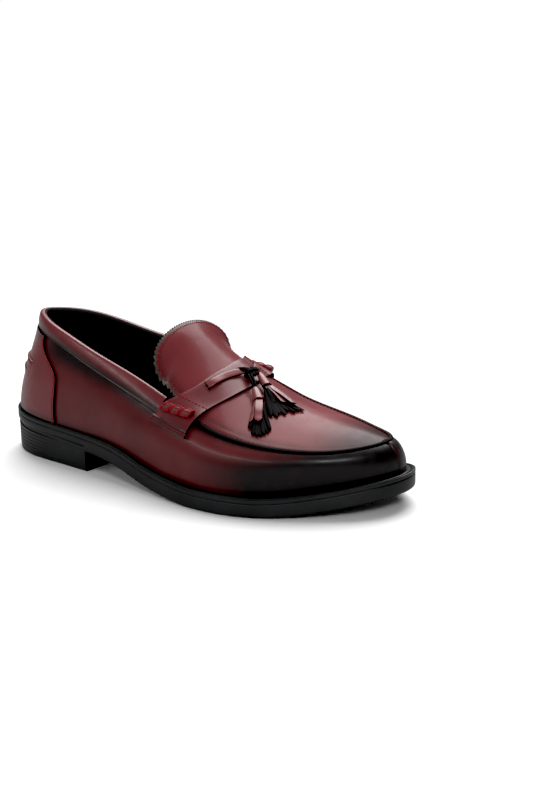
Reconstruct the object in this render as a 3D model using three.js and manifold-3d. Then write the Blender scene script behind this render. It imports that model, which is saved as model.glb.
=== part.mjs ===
// Tassel loafer, right shoe, in millimetres.
// +X points to the toe, +Y to the inner side of the foot, +Z up. The sole's flat spots lie on z = 0.
import * as THREE from 'three';
import { mergeVertices } from 'three/addons/utils/BufferGeometryUtils.js';
import Module from 'manifold-3d';

// Driving sizes
const LENGTH = 304;          // outsole, heel to toe
const BALL = 110;            // outsole, across the ball
const SWING = 16;            // how far the toe swings to the inner side
const HEEL = 13.7;           // heel height at its front edge
const BREAST = 88;           // front edge of the heel
const SPRING = 12;           // lift of the toe
const SOLE = 11.5;           // sole edge, top to bottom
const WELT = 2.6;            // top layer of the sole edge
const HEEL_SEAT = 8;         // sole left above the heel
const COLLAR = 97;           // height of the collar at the back
const WALL = 2;              // leather and lining of the upper
const OVERLAY = 1.1;         // a second layer of leather
const GAP = 0.3;             // clearance between pieces
const RIDGE = 1.2;           // how far the raised seam stands off the wall
const BAND = 8.5;            // depth of the collar band at the back
const BAND_LOW = 12;         // its depth where it meets the strap
const TOP_BACK = 20.5;       // back end of the top line
const TOP_FRONT = 289.5;     // front end of the raised seam
const SEAM = 1.5;            // the plate's edge lies this far inside the top line and below it
const TONGUE_BACK = 143;     // free end of the tongue
const TONGUE_ROUND = 13;     // length of its round end
const TONGUE_FLARE = 9.5;    // how far it spreads there on each side
const STRAP_THICK = 1.3;
const STRAP_RISE = 0.55;     // strap above the plate
const ROLL = 2.5;            // half the thickness of the gathered rolls
const THONG = 5;             // width of the flat thong
const KNOT_SIZE = 5;         // half the length of the knot
const STRIP = 3.4;           // width of a fringe strip
const STRIP_THICK = 0.9;

// Half widths of the outsole as shares of BALL
const OUTLINE = {
  at: [0.04, 0.1, 0.18, 0.27, 0.36, 0.46, 0.56, 0.64, 0.72, 0.8, 0.88, 0.95],
  lateral: [0.215, 0.298, 0.334, 0.364, 0.409, 0.477, 0.545, 0.586, 0.582, 0.518, 0.405, 0.268],
  medial: [0.21, 0.287, 0.314, 0.3, 0.273, 0.259, 0.295, 0.359, 0.409, 0.409, 0.35, 0.25],
};
// Underside of the sole: shares of HEEL and of SPRING
const UNDERSIDE = {
  at: [0, 0.1, 0.2, 0.29, 0.39, 0.48, 0.56, 0.63, 0.7, 0.76, 0.82, 0.88, 1],
  heel: [1.35, 1.22, 1.1, 1, 0.8, 0.36, 0.1, 0, 0, 0, 0, 0, 0],
  spring: [0, 0, 0, 0, 0, 0, 0, 0, 0, 0, 0.12, 0.36, 1],
};
// Width of sole edge outside the upper, as shares of SOLE
const FLANGE = { at: [0, 0.1, 0.2, 0.4, 0.66, 1], width: [0.33, 0.26, 0.22, 0.35, 0.43, 0.43] };
// Top line: half widths as shares of BALL, heights as shares of COLLAR
const TOPLINE = {
  at: [0.03, 0.09, 0.18, 0.27, 0.37, 0.46, 0.53, 0.62, 0.7, 0.78, 0.86, 0.93, 0.97],
  lateral: [0.1, 0.182, 0.245, 0.282, 0.309, 0.341, 0.382, 0.427, 0.445, 0.432, 0.373, 0.273, 0.182],
  medial: [0.1, 0.182, 0.236, 0.268, 0.291, 0.305, 0.305, 0.3, 0.295, 0.277, 0.236, 0.168, 0.118],
};
const TOPHEIGHT = {
  at: [0, 0.05, 0.18, 0.27, 0.37, 0.46, 0.52, 0.58, 0.656, 0.71, 0.78, 0.86, 0.93, 1],
  lateral: [1, 0.979, 0.902, 0.83, 0.751, 0.675, 0.624, 0.562, 0.5, 0.472, 0.445, 0.426, 0.423, 0.443],
  medial: [1, 0.99, 0.923, 0.861, 0.814, 0.784, 0.753, 0.68, 0.598, 0.546, 0.505, 0.474, 0.454, 0.443],
};
// Crest of the tongue and apron: places as shares of LENGTH, heights as shares of COLLAR
const CREST = {
  at: [0.47, 0.493, 0.526, 0.566, 0.599, 0.628, 0.674, 0.724, 0.789, 0.855, 0.914, 0.95],
  height: [1.046, 0.995, 0.918, 0.825, 0.756, 0.699, 0.632, 0.58, 0.531, 0.495, 0.46, 0.43],
};
// Share of the full crown that the tongue keeps
const CROWN = { at: [0.47, 0.487, 0.503, 0.526, 0.55], share: [0.3, 0.42, 0.72, 0.95, 1] };
// Wall of the upper: belly above the sole and shoulder below the top line, as shares of SOLE,
// rise and drop of its two handles as shares of the wall's height
const SIDE = {
  at: [0, 0.15, 0.3, 0.46, 0.6, 0.75, 0.9, 1],
  bellyLateral: [-0.2, 0.17, 0.2, 0.3, 0.3, 0.26, 0.17, 0.09],
  bellyMedial: [-0.2, 0.17, 0.4, 0.75, 0.5, 0.3, 0.17, 0.09],
  shoulderLateral: [0.36, 0.5, 0.6, 0.85, 0.95, 0.95, 0.8, 0.6],
  shoulderMedial: [0.36, 0.42, 0.45, 0.5, 0.75, 0.85, 0.75, 0.6],
  rise: [0.4, 0.4, 0.42, 0.45, 0.5, 0.5, 0.45, 0.4],
  drop: [0.35, 0.35, 0.32, 0.28, 0.2, 0.16, 0.12, 0.1],
};

const LATERAL = -1, MEDIAL = 1;
const clamp = THREE.MathUtils.clamp;
const smooth = THREE.MathUtils.smoothstep;
const range = (n, from = 0, to = 1) => Array.from({ length: n + 1 }, (_, i) => from + (to - from) * i / n);

// Natural cubic spline through a table's rows
function spline(xs, ys) {
  const last = xs.length - 1, c = [0], d = [0], m = Array(last + 1).fill(0);
  for (let i = 1; i < last; i++) {
    const a = xs[i] - xs[i - 1], b = xs[i + 1] - xs[i], p = 2 * (a + b) - a * c[i - 1];
    c[i] = b / p;
    d[i] = (6 * ((ys[i + 1] - ys[i]) / b - (ys[i] - ys[i - 1]) / a) - a * d[i - 1]) / p;
  }
  for (let i = last - 1; i > 0; i--) m[i] = d[i] - c[i] * m[i + 1];
  return x => {
    let i = 1;
    while (i < last && x > xs[i]) i++;
    const h = xs[i] - xs[i - 1], a = (xs[i] - x) / h, b = (x - xs[i - 1]) / h;
    return a * ys[i - 1] + b * ys[i] + ((a ** 3 - a) * m[i - 1] + (b ** 3 - b) * m[i]) * h * h / 6;
  };
}

// Half width along one side of a closed loop, which comes to nothing at both ends.
// The station u runs 0 to 1 and crowds towards the ends, so that they come out round.
function loopWidth(at, widths) {
  const u = at.map(s => Math.acos(1 - 2 * s) / Math.PI), n = u.length;
  return spline(
    [-u[1], -u[0], 0, ...u, 1, 2 - u[n - 1], 2 - u[n - 2]],
    [-widths[1], -widths[0], 0, ...widths, 0, -widths[n - 1], -widths[n - 2]],
  );
}
const along = (u, from, to) => from + (to - from) * (1 - Math.cos(Math.PI * u)) / 2;
const station = share => Math.acos(1 - 2 * clamp(share, 0, 1)) / Math.PI;
const axis = x => SWING * (x / LENGTH) ** 2;

const heelShare = spline(UNDERSIDE.at, UNDERSIDE.heel);
const springShare = spline(UNDERSIDE.at, UNDERSIDE.spring);
const under = x => Math.max(0, HEEL * heelShare(x / LENGTH) - 0.1)
  + Math.max(0, SPRING * springShare(x / LENGTH) - 0.1);
const soleTop = x => under(x) + SOLE;
const flangeShare = spline(FLANGE.at, FLANGE.width);
const flange = x => SOLE * flangeShare(x / LENGTH);

// A loop is walked by a: 0 at the heel, 1 at the toe along the lateral side, 2 back at the heel
const sideOf = a => (a <= 1 ? LATERAL : MEDIAL);
const stationOf = a => (a <= 1 ? a : 2 - a);
const outlineWidth = {
  [LATERAL]: loopWidth(OUTLINE.at, OUTLINE.lateral), [MEDIAL]: loopWidth(OUTLINE.at, OUTLINE.medial),
};
const topWidth = {
  [LATERAL]: loopWidth(TOPLINE.at, TOPLINE.lateral), [MEDIAL]: loopWidth(TOPLINE.at, TOPLINE.medial),
};
const topHeight = {
  [LATERAL]: spline(TOPHEIGHT.at, TOPHEIGHT.lateral), [MEDIAL]: spline(TOPHEIGHT.at, TOPHEIGHT.medial),
};
function outline(a) {
  const u = stationOf(a), side = sideOf(a), x = along(u, 0, LENGTH);
  return new THREE.Vector2(x, axis(x) + side * BALL * outlineWidth[side](u));
}
function outward(a) {
  const e = 0.002, t = outline((a + e) % 2).sub(outline((a - e + 2) % 2)).normalize();
  return new THREE.Vector2(t.y, -t.x);
}
const inset = (a, d) => outline(a).addScaledVector(outward(a), -d);

// The collar ends a band's thickness below the top line, and the raised seam in front reaches it
const collarPart = x => 1 - smooth(x / LENGTH, 0.526, 0.609);
function topPoint(a) {
  const u = stationOf(a), side = sideOf(a), x = along(u, TOP_BACK, TOP_FRONT);
  const share = (x - TOP_BACK) / (TOP_FRONT - TOP_BACK);
  return new THREE.Vector3(x, axis(x) + side * BALL * topWidth[side](u),
    COLLAR * topHeight[side](share) - (OVERLAY + GAP) * collarPart(x));
}
const sideSpline = name => spline(SIDE.at, SIDE[name]);
const belly = { [LATERAL]: sideSpline('bellyLateral'), [MEDIAL]: sideSpline('bellyMedial') };
const shoulder = { [LATERAL]: sideSpline('shoulderLateral'), [MEDIAL]: sideSpline('shoulderMedial') };
const rise = sideSpline('rise'), drop = sideSpline('drop');

// Outer face of the upper: a from the heel round the loop, t from the sole up to the top line
function wallPoint(a, t) {
  const side = sideOf(a), share = stationOf(a), s = (1 - Math.cos(Math.PI * share)) / 2;
  const low = inset(a, flange(along(share, 0, LENGTH))), n = outward(a);
  const foot = new THREE.Vector3(low.x, low.y, soleTop(low.x) + GAP), top = topPoint(a);
  const height = top.z - foot.z, b = SOLE * belly[side](s), c = SOLE * shoulder[side](s);
  const p1 = new THREE.Vector3(n.x * b, n.y * b, height * rise(s)).add(foot);
  const p2 = new THREE.Vector3(n.x * c, n.y * c, -height * drop(s)).add(top);
  return new THREE.CubicBezierCurve3(foot, p1, p2, top).getPoint(t);
}
const turn = a => ((a % 2) + 2) % 2;
function wallNormal(a, t) {
  const e = 0.004, t0 = clamp(t, e, 1 - e);
  const da = wallPoint(turn(a + e), t0).sub(wallPoint(turn(a - e), t0));
  const dt = wallPoint(turn(a), t0 + e).sub(wallPoint(turn(a), t0 - e));
  return da.cross(dt).normalize();
}
const wall = (a, t, out = 0) => wallPoint(turn(a), t).addScaledVector(wallNormal(a, t), out);
const wallLength = a => wallPoint(a, 1).distanceTo(wallPoint(a, 0.5)) + wallPoint(a, 0.5).distanceTo(wallPoint(a, 0));

// Upper face of the apron and tongue, crowned across, at a place given by x and y
const crestShare = spline(CREST.at, CREST.height), crownShare = spline(CROWN.at, CROWN.share);
const crest = x => COLLAR * crestShare(x / LENGTH);
function edgeOfTop(x, side) {
  const u = station((x - TOP_BACK) / (TOP_FRONT - TOP_BACK));
  return topPoint(side === LATERAL ? u : 2 - u);
}
const halfTop = (x, side) => Math.abs(edgeOfTop(x, side).y - axis(x));
function apron(x, y) {
  const side = y < axis(x) ? LATERAL : MEDIAL;
  const low = edgeOfTop(x, side).z - SEAM, high = Math.max(crest(x), low);
  const share = x / LENGTH < 0.55 ? crownShare(x / LENGTH) : 1;
  return high - (high - low) * share * ((y - axis(x)) / Math.max(halfTop(x, side), 1)) ** 2;
}
function apronNormal(x, y) {
  const e = 0.2;
  return new THREE.Vector3(apron(x - e, y) - apron(x + e, y), apron(x, y - e) - apron(x, y + e), 2 * e).normalize();
}
const onApron = (x, y, up = 0) => new THREE.Vector3(x, y, apron(x, y)).addScaledVector(apronNormal(x, y), up);

// Solid through closed sections with the same number of points. The sections of an open loft
// pair point j with the last but j, and its end faces are ladders between the pairs.
function loft(sections, closed = false) {
  const n = sections[0].length, rows = sections.length, position = sections.flat().flatMap(p => p.toArray());
  const index = [], quad = (a, b, c, d) => index.push(a, b, c, a, c, d);
  for (let i = 0; i < rows - (closed ? 0 : 1); i++) {
    for (let j = 0; j < n; j++) {
      const k = (j + 1) % n, up = ((i + 1) % rows) * n;
      quad(i * n + j, i * n + k, up + k, up + j);
    }
  }
  if (!closed) {
    for (let j = 0; j < n / 2 - 1; j++) {
      const m = (rows - 1) * n;
      quad(n - 1 - j, n - 2 - j, j + 1, j);
      quad(m + j, m + j + 1, m + n - 2 - j, m + n - 1 - j);
    }
  }
  return closedGeometry(position, index);
}

// Merges shared vertices, drops empty triangles and turns the faces outwards
function closedGeometry(position, index) {
  const raw = new THREE.BufferGeometry();
  raw.setAttribute('position', new THREE.Float32BufferAttribute(position, 3));
  raw.setIndex(index);
  const merged = mergeVertices(raw, 2e-3), p = merged.getAttribute('position'), kept = [];
  const v = [0, 1, 2].map(() => new THREE.Vector3());
  let volume = 0;
  for (let i = 0; i < merged.index.count; i += 3) {
    const t = [0, 1, 2].map(k => merged.index.getX(i + k));
    if (t[0] === t[1] || t[1] === t[2] || t[2] === t[0]) continue;
    t.forEach((id, k) => v[k].fromBufferAttribute(p, id));
    volume += v[0].dot(v[1].clone().cross(v[2]));
    kept.push(t);
  }
  merged.setIndex(kept.flatMap(t => (volume < 0 ? [t[0], t[2], t[1]] : t)));
  return merged;
}

const wasm = await Module();
wasm.setup();
// Joins closed geometries into one solid
function join(geometries) {
  const solids = geometries.map(g => new wasm.Manifold(new wasm.Mesh({
    numProp: 3,
    vertProperties: new Float32Array(g.getAttribute('position').array),
    triVerts: new Uint32Array(g.index.array),
  })));
  const mesh = solids.reduce((whole, next) => whole.add(next)).getMesh();
  return closedGeometry(Array.from(mesh.vertProperties), Array.from(mesh.triVerts));
}

const shoe = new THREE.Group();
const width = range(200, 0, 2).map(a => outline(turn(a)).y);
shoe.position.set(-LENGTH / 2, -(Math.min(...width) + Math.max(...width)) / 2, 0);
const rubber = { color: 0x17171a, roughness: 0.62, metalness: 0 };
const leather = { color: 0x6f2a2e, roughness: 0.34, metalness: 0 };
const strapLeather = { color: 0x7a3034, roughness: 0.36, metalness: 0 };
const lining = { color: 0x151214, roughness: 0.8, metalness: 0 };
function add(name, geometry, look) {
  const mesh = new THREE.Mesh(geometry, new THREE.MeshStandardMaterial(look));
  mesh.name = name;
  shoe.add(mesh);
}

// Solid whose two sides follow the outline: side(u) lists [inset, height] from the bottom up
function sidedSolid(stations, side) {
  return loft(stations.map(u => {
    const rows = side(u);
    const half = (a, list) => list.map(([d, z]) => {
      const p = inset(a, d);
      return new THREE.Vector3(p.x, p.y, z(p.x));
    });
    return [...half(u, rows), ...half(turn(2 - u), rows).reverse()];
  }));
}

// Heel: a block with three fine grooves that fade towards its front edge
const seam = x => soleTop(x) - HEEL_SEAT;
const heelStations = range(17, 0, station((BREAST - GAP) / LENGTH));
add('heel', sidedSolid(heelStations, u => {
  const groove = 2 * GAP * (1 - smooth(along(u, 0, 1), 0.08, 0.23));
  const level = share => x => (seam(x) - GAP) * share;
  return [
    [1.4, level(0)], [0.9, level(0.06)], [0.6, level(0.52)], [0.6 + groove, level(0.55)], [0.5, level(0.58)],
    [0.5, level(0.68)], [0.5 + groove, level(0.71)], [0.4, level(0.74)], [0.4, level(0.84)],
    [0.4 + groove, level(0.87)], [0.3, level(0.9)], [0.3, level(1)],
  ];
}), rubber);

// Outsole: thin above the heel, full from the arch to the toe, with a filled middle. It steps
// down just in front of the heel.
const INSIDE = 9;
const breast = station(BREAST / LENGTH);
const soleStations = [...range(14, 0, breast), ...range(33, station((BREAST + 0.6) / LENGTH), 1)];
add('outsole', sidedSolid(soleStations, u => {
  const bottom = u <= breast ? seam : under, shelf = x => soleTop(x) - WELT - 0.4;
  return [
    [1, bottom], [0.2, x => bottom(x) + 1.2], [0, x => bottom(x) + 2.4], [0, x => shelf(x) - 0.8],
    [0.6, shelf], [INSIDE + GAP, shelf], [INSIDE + GAP, soleTop],
  ];
}), rubber);

// Welt: a ring on the sole with a stitching groove in the part that shows
add('welt', loft(range(56, 0, 2).slice(0, -1).map(a => {
  const f = flange(outline(a).x), low = x => soleTop(x) - WELT, high = x => soleTop(x);
  const groove = x => soleTop(x) - 0.9;
  return [
    [0.5, low], [0, x => low(x) + 0.6], [0, x => high(x) - 0.5], [f * 0.15, high], [f * 0.28, groove],
    [f * 0.6, groove], [f * 0.72, high], [INSIDE - 0.4, high], [INSIDE - 0.4, low],
  ].map(([d, z]) => {
    const p = inset(a, d);
    return new THREE.Vector3(p.x, p.y, z(p.x));
  });
}), true), rubber);

// Upper: one hollow wall, open at the collar and throat and open below. Its front edge stands
// proud as the raised seam, which is a step in the wall.
const FLIGHT = [0, 0.15, 0.31, 0.46, 0.6, 0.73, 0.84, 0.905, 0.925, 1];
add('upper', loft(range(66, 0, 2).slice(0, -1).map(a => {
  const ridge = 1 - collarPart(along(stationOf(a), TOP_BACK, TOP_FRONT));
  const recess = t => -RIDGE * ridge * (1 - smooth(t, 0.905, 0.925));
  const outer = FLIGHT.map(t => wall(a, t, recess(t)));
  const inner = FLIGHT.map(t => wall(a, t, Math.min(-WALL, recess(t) - WALL + 0.4)));
  return [...outer, ...inner.reverse()];
}), true), leather);

// Insole, inside the foot of the wall
add('insole', sidedSolid(range(32), u => {
  const d = flange(along(u, 0, LENGTH)) + WALL + RIDGE + 1;
  return [[d, x => soleTop(x) + GAP], [d, x => soleTop(x) + GAP + 3]];
}), lining);

// Tongue and apron in one plate, crowned across, with a blunt round free end
function plateHalf(x, side) {
  const round = (x - TONGUE_BACK) / TONGUE_ROUND, wide = TONGUE_BACK + TONGUE_ROUND;
  const flare = TONGUE_FLARE * (1 - smooth(round, 0.4, 1.23));
  const tuck = (WALL + OVERLAY + GAP) * (1 - smooth(x / LENGTH, 0.543, 0.599));
  const full = halfTop(Math.max(x, wide), side) + flare - SEAM - tuck;
  const back = clamp(1 - round, 0, 1);
  return Math.max(full * Math.cbrt(1 - back ** 3), 0.6);
}
add('tongue', loft(range(30).map(s => {
  const x = along(s, TONGUE_BACK, TOP_FRONT - 2);
  const lateral = plateHalf(x, LATERAL), medial = plateHalf(x, MEDIAL);
  const across = range(6, -1, 1).map(k => axis(x) + (k < 0 ? k * lateral : k * medial));
  return [...across.map(y => onApron(x, y)), ...across.map(y => onApron(x, y, -WALL + 0.2)).reverse()];
})), leather);

// Collar band, folded over the edge of the collar from strap to strap
const BAND_FRONT = station((0.52 * LENGTH - TOP_BACK) / (TOP_FRONT - TOP_BACK));
add('collar_band', loft(range(34, -BAND_FRONT, BAND_FRONT).map(s => {
  const a = turn(s), depth = BAND + (BAND_LOW - BAND) * smooth(Math.abs(s), 0.2, BAND_FRONT);
  const t0 = 1 - depth / wallLength(a), tip = wall(a, 1).sub(wall(a, 0.97)).normalize();
  const over = (out, up) => wall(a, 1, out).addScaledVector(tip, up);
  const layer = (out, up) => [
    wall(a, t0, out), wall(a, (1 + t0) / 2, out + 0.2 * (out > GAP)), wall(a, 1, out),
    over(out - up * 0.4, up), over(-WALL - out + up * 0.4, up), wall(a, 1, -WALL - out),
    wall(a, 0.95, -WALL - out),
  ];
  return [...layer(GAP + OVERLAY, GAP + OVERLAY), ...layer(GAP, GAP).reverse()];
})), leather);

// Patches that wrap the heel, between a lower and an upper height and out to a front edge
function heelPatch(levels, front, low, high, across = 12) {
  return loft(levels.map(t => {
    const reach = front(t), walk = range(across, -reach, reach);
    return [...walk.map(s => wall(s, t, high)), ...walk.map(s => wall(s, t, low)).reverse()];
  }));
}
const COUNTER = {
  at: [0, 0.3, 0.45, 0.58, 0.7, 0.78, 0.85],
  front: [0.192, 0.186, 0.178, 0.157, 0.108, 0.084, 0.08],
};
const counterFront = spline(COUNTER.at, COUNTER.front);
const counterTop = 1 - (BAND + 1.5) / wallLength(0);
add('counter', heelPatch(range(8, 0.02, counterTop), t => station(counterFront(t)), 0.6, 0.6 + OVERLAY), leather);
add('heel_tab', heelPatch([0.34, 0.4, 0.5, 0.56], () => station(0.07),
  1.1 + OVERLAY, 1 + OVERLAY * 1.9, 10), leather);

// Strip down the front of the toe
add('toe_strip', loft([0.03, 0.2, 0.4, 0.6, 0.75, 0.88].map(t => {
  const half = 0.0145, walk = range(4, 1 - half, 1 + half);
  return [...walk.map(a => wall(a, t, 0.4 + OVERLAY - RIDGE)), ...walk.map(a => wall(a, t, 0.4 - RIDGE)).reverse()];
})), leather);

// Saddle strap over the instep, down both walls, lying over the ends of the collar band. Its
// edges are shares of LENGTH, from its middle to its ends.
const STRAP = {
  at: [0, 0.25, 0.5, 0.7, 0.85, 1],
  rear: [0.5855, 0.579, 0.5609, 0.5345, 0.5181, 0.5132],
  front: [0.648, 0.6415, 0.625, 0.6135, 0.6086, 0.6053],
};
const strapRear = spline(STRAP.at, STRAP.rear), strapFront = spline(STRAP.at, STRAP.front);
const atTop = (x, side) => {
  const u = station((x - TOP_BACK) / (TOP_FRONT - TOP_BACK));
  return side === LATERAL ? u : 2 - u;
};
function strapPath(x) {
  const base = 0.5 + (OVERLAY + 2 * GAP) * (1 - smooth(x / LENGTH, 0.523, 0.546));
  const down = [0.63, 0.74, 0.85, 0.95, 1];
  const side = which => down.map(t => wall(atTop(x, which), t, base + 0.5 * smooth(t, 0.85, 1)));
  const over = [-0.8, -0.45, 0, 0.45, 0.8].map(k => {
    const which = k < 0 ? LATERAL : MEDIAL;
    return onApron(x, axis(x) + k * halfTop(x, which), STRAP_RISE);
  });
  return new THREE.CatmullRomCurve3([...side(LATERAL), ...over, ...side(MEDIAL).reverse()]);
}
function strapBase(s, r) {
  const k = Math.abs(s), share = strapRear(k) + (strapFront(k) - strapRear(k)) * r;
  return strapPath(share * LENGTH).getPointAt((s + 1) / 2);
}
function strapNormal(s, r) {
  const e = 0.02, s0 = clamp(s, -1 + e, 1 - e), r0 = clamp(r, 0.1, 0.9);
  const ds = strapBase(s0 + e, r0).sub(strapBase(s0 - e, r0));
  return strapBase(s0, r0 + 0.1).sub(strapBase(s0, r0 - 0.1)).cross(ds).normalize();
}
const strapPoint = (s, r, up = 0) => strapBase(s, r).addScaledVector(strapNormal(s, r), up);
add('strap', loft(range(24, -1, 1).map(s => {
  const walk = range(4);
  return [...walk.map(r => strapPoint(s, r, STRAP_THICK)), ...walk.map(r => strapPoint(s, r)).reverse()];
})), strapLeather);

// Three gathered rolls on each side of the strap
for (const [name, s] of [['rolls_lateral', -0.79], ['rolls_medial', 0.79]]) {
  add(name, loft(range(18, 0.1, 0.86).map((r, i) => {
    const size = i === 0 || i === 18 ? ROLL * 0.45 : ROLL * (0.72 + 0.28 * Math.abs(Math.sin(i * Math.PI / 6)));
    const n = strapNormal(s, r), across = strapPoint(s + 0.02, r).sub(strapPoint(s - 0.02, r)).normalize();
    const middle = strapPoint(s, r, STRAP_THICK + GAP + ROLL);
    return range(8).slice(0, -1).map(q => {
      const angle = 2 * Math.PI * (q + 0.5 / 8);
      return middle.clone().addScaledVector(across, Math.cos(angle) * size * 1.15)
        .addScaledVector(n, Math.sin(angle) * size);
    });
  })), strapLeather);
}

// Ribbon along places on the apron, with its own widths at both ends
function ribbon(places, from, to, thick, steps) {
  const curve = new THREE.CatmullRomCurve3(places.map(([x, y, lift]) => onApron(x, y, lift)));
  return loft(range(steps).map(q => {
    const p = curve.getPointAt(q), n = apronNormal(p.x, p.y), t = curve.getTangentAt(q);
    const half = t.clone().cross(n).normalize().multiplyScalar((from + (to - from) * q) / 2);
    const low = [p.clone().sub(half), p.clone().add(half)];
    return [...low, ...low.map(v => v.clone().addScaledVector(n, thick)).reverse()];
  }));
}
// Rope of a round section along places on the apron, with a radius at each end
function rope(places, from, to, sides, steps) {
  const curve = new THREE.CatmullRomCurve3(places.map(([x, y, lift]) => onApron(x, y, lift)));
  return loft(range(steps).map(q => {
    const p = curve.getPointAt(q), n = apronNormal(p.x, p.y), t = curve.getTangentAt(q);
    const half = t.clone().cross(n).normalize(), radius = from + (to - from) * q;
    return range(sides).slice(0, -1).map(k => {
      const angle = 2 * Math.PI * (k + 0.5 / sides);
      return p.clone().addScaledVector(half, Math.cos(angle) * radius)
        .addScaledVector(n, Math.sin(angle) * radius);
    });
  }));
}
// A place on the apron from shares of LENGTH and BALL, with its lift above the leather
const spot = (x, y, lift) => [x * LENGTH, y * BALL, lift];

// Thong out of its two slots, over the strap and into the knot
const onStrap = STRAP_RISE + STRAP_THICK + 0.5;
const knotPart = (x, y, lift) =>
  [0.6145 * LENGTH + x * KNOT_SIZE, 0.0545 * BALL + y * KNOT_SIZE, onStrap + lift * KNOT_SIZE];
add('thong', join([
  ribbon([spot(0.59, -0.1873, onStrap), spot(0.5993, -0.1, onStrap), spot(0.6043, -0.028, onStrap + 0.3),
    spot(0.6105, 0.04, onStrap + 1)], THONG, THONG, 1.2, 6),
  ribbon([spot(0.6165, 0.08, onStrap + 1), spot(0.6145, 0.135, onStrap + 0.3), spot(0.606, 0.191, onStrap),
    spot(0.5954, 0.2364, onStrap)], THONG, THONG, 1.2, 6),
  rope([knotPart(-0.8, -0.4, 0.52), knotPart(0, 0, 0.6), knotPart(0.8, 0.4, 0.52)],
    0.48 * KNOT_SIZE, 0.52 * KNOT_SIZE, 8, 4),
  rope([knotPart(-0.4, 1, 0.48), knotPart(0, 0, 0.68), knotPart(0.4, -1, 0.48)],
    0.44 * KNOT_SIZE, 0.44 * KNOT_SIZE, 8, 4),
]), strapLeather);

// Tassel: a cord from the knot, a wrapped cap and a fringe of strips, all one solid on the apron
function tassel(start, cap, neck, end, spread) {
  const [dx, dy] = [end[0] - neck[0], end[1] - neck[1]], size = Math.hypot(dx, dy);
  const side = [-dy / size, dx / size], strips = 7;
  const parts = [
    rope([start, [(start[0] + cap[0]) / 2, (start[1] + cap[1]) / 2, start[2] + 0.4], cap],
      0.35 * STRIP, 0.41 * STRIP, 6, 3),
    rope([cap, neck], 0.8 * STRIP, STRIP, 8, 1),
  ];
  for (let i = 0; i < strips; i++) {
    const k = (i + 0.5) / strips * 2 - 1, reach = 0.86 + 0.14 * Math.cos(3.1 * i);
    const lift = end[2] + 2.2 * STRIP_THICK * (i % 2);
    const at = (q, off, up) => [neck[0] + dx * q + side[0] * off, neck[1] + dy * q + side[1] * off, up];
    parts.push(ribbon([
      at(-0.12, k * STRIP * 0.47, neck[2] - 0.6 + k * k), at(0.3, k * spread * 0.45, lift + 1.4),
      at(0.65, k * spread * 0.8, lift + 0.4), at(reach, k * spread, lift),
    ], STRIP * 0.8, STRIP, STRIP_THICK, 4));
  }
  return join(parts);
}
add('tassel_left', tassel(spot(0.6303, 0.0136, 5.4), spot(0.6582, -0.0355, 4.6), spot(0.6878, -0.101, 4.2),
  spot(0.746, -0.288, 0.35), 1.76 * STRIP), strapLeather);
add('tassel_right', tassel(spot(0.6329, 0.0818, 5.4), spot(0.6398, 0.1, 4.8), spot(0.6737, 0.0618, 4.4),
  spot(0.7533, -0.0336, 0.35), 2.06 * STRIP), strapLeather);

export default shoe;
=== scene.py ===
import bmesh, bpy, math
import numpy as np
from mathutils import Matrix, Vector


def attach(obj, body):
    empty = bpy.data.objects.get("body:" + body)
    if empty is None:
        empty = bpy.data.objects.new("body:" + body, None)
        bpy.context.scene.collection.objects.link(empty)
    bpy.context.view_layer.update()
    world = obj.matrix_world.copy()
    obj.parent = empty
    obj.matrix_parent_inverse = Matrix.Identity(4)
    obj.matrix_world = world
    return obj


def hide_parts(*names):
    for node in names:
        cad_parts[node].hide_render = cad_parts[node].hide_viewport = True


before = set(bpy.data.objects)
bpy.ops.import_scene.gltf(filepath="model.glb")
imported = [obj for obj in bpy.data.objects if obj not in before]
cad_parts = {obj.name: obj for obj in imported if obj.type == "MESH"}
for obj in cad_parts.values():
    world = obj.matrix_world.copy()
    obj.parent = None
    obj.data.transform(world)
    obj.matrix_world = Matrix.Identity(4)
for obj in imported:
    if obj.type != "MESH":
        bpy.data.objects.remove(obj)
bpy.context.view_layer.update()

# Studio: a pale seamless floor, one broad light from behind and two soft boxes in front. The
# camera stands off the outer side of the toe, a little above the shoe. Floor and room look
# brighter to it than they light the shoe.
SHOE_MIDDLE = Vector((0, 0, 0.04))


def by_sight(tree, lit, seen, socket):
    """Give a socket one number for light rays and another for what the camera sees."""
    sight, number = tree.nodes.new("ShaderNodeLightPath"), tree.nodes.new("ShaderNodeMapRange")
    number.inputs["To Min"].default_value, number.inputs["To Max"].default_value = lit, seen
    tree.links.new(sight.outputs["Is Camera Ray"], number.inputs["Value"])
    tree.links.new(number.outputs[0], socket)


floor_mesh = bpy.data.meshes.new("floor")
reach = 40.0
floor_mesh.from_pydata([(-reach, -reach, 0), (reach, -reach, 0), (reach, reach, 0), (-reach, reach, 0)],
                       [], [(0, 1, 2, 3)])
floor = bpy.data.objects.new("floor", floor_mesh)
bpy.context.collection.objects.link(floor)
floor_look = bpy.data.materials.new("pale_floor")
floor_look.use_nodes = True
floor_paint = floor_look.node_tree.nodes["Principled BSDF"]
by_sight(floor_look.node_tree, 0.42, 0.95, floor_paint.inputs["Base Color"])
floor_paint.inputs["Roughness"].default_value = 0.9
floor_mesh.materials.append(floor_look)

# The camera's lens and place were fitted to the shoe's outline.
camera = bpy.data.cameras.new("camera")
camera.lens, camera.sensor_width, camera.sensor_height, camera.sensor_fit = 65.256, 36, 36, "AUTO"
camera_object = bpy.data.objects.new("camera", camera)
bpy.context.collection.objects.link(camera_object)
camera_object.matrix_world = Matrix((
    (0.810443, -0.145430, 0.567479, 0.574280),
    (0.585648, 0.224440, -0.778873, -0.708254),
    (-0.014093, 0.963575, 0.267066, 0.302098),
    (0, 0, 0, 1)))
bpy.context.scene.camera = camera_object

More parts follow.
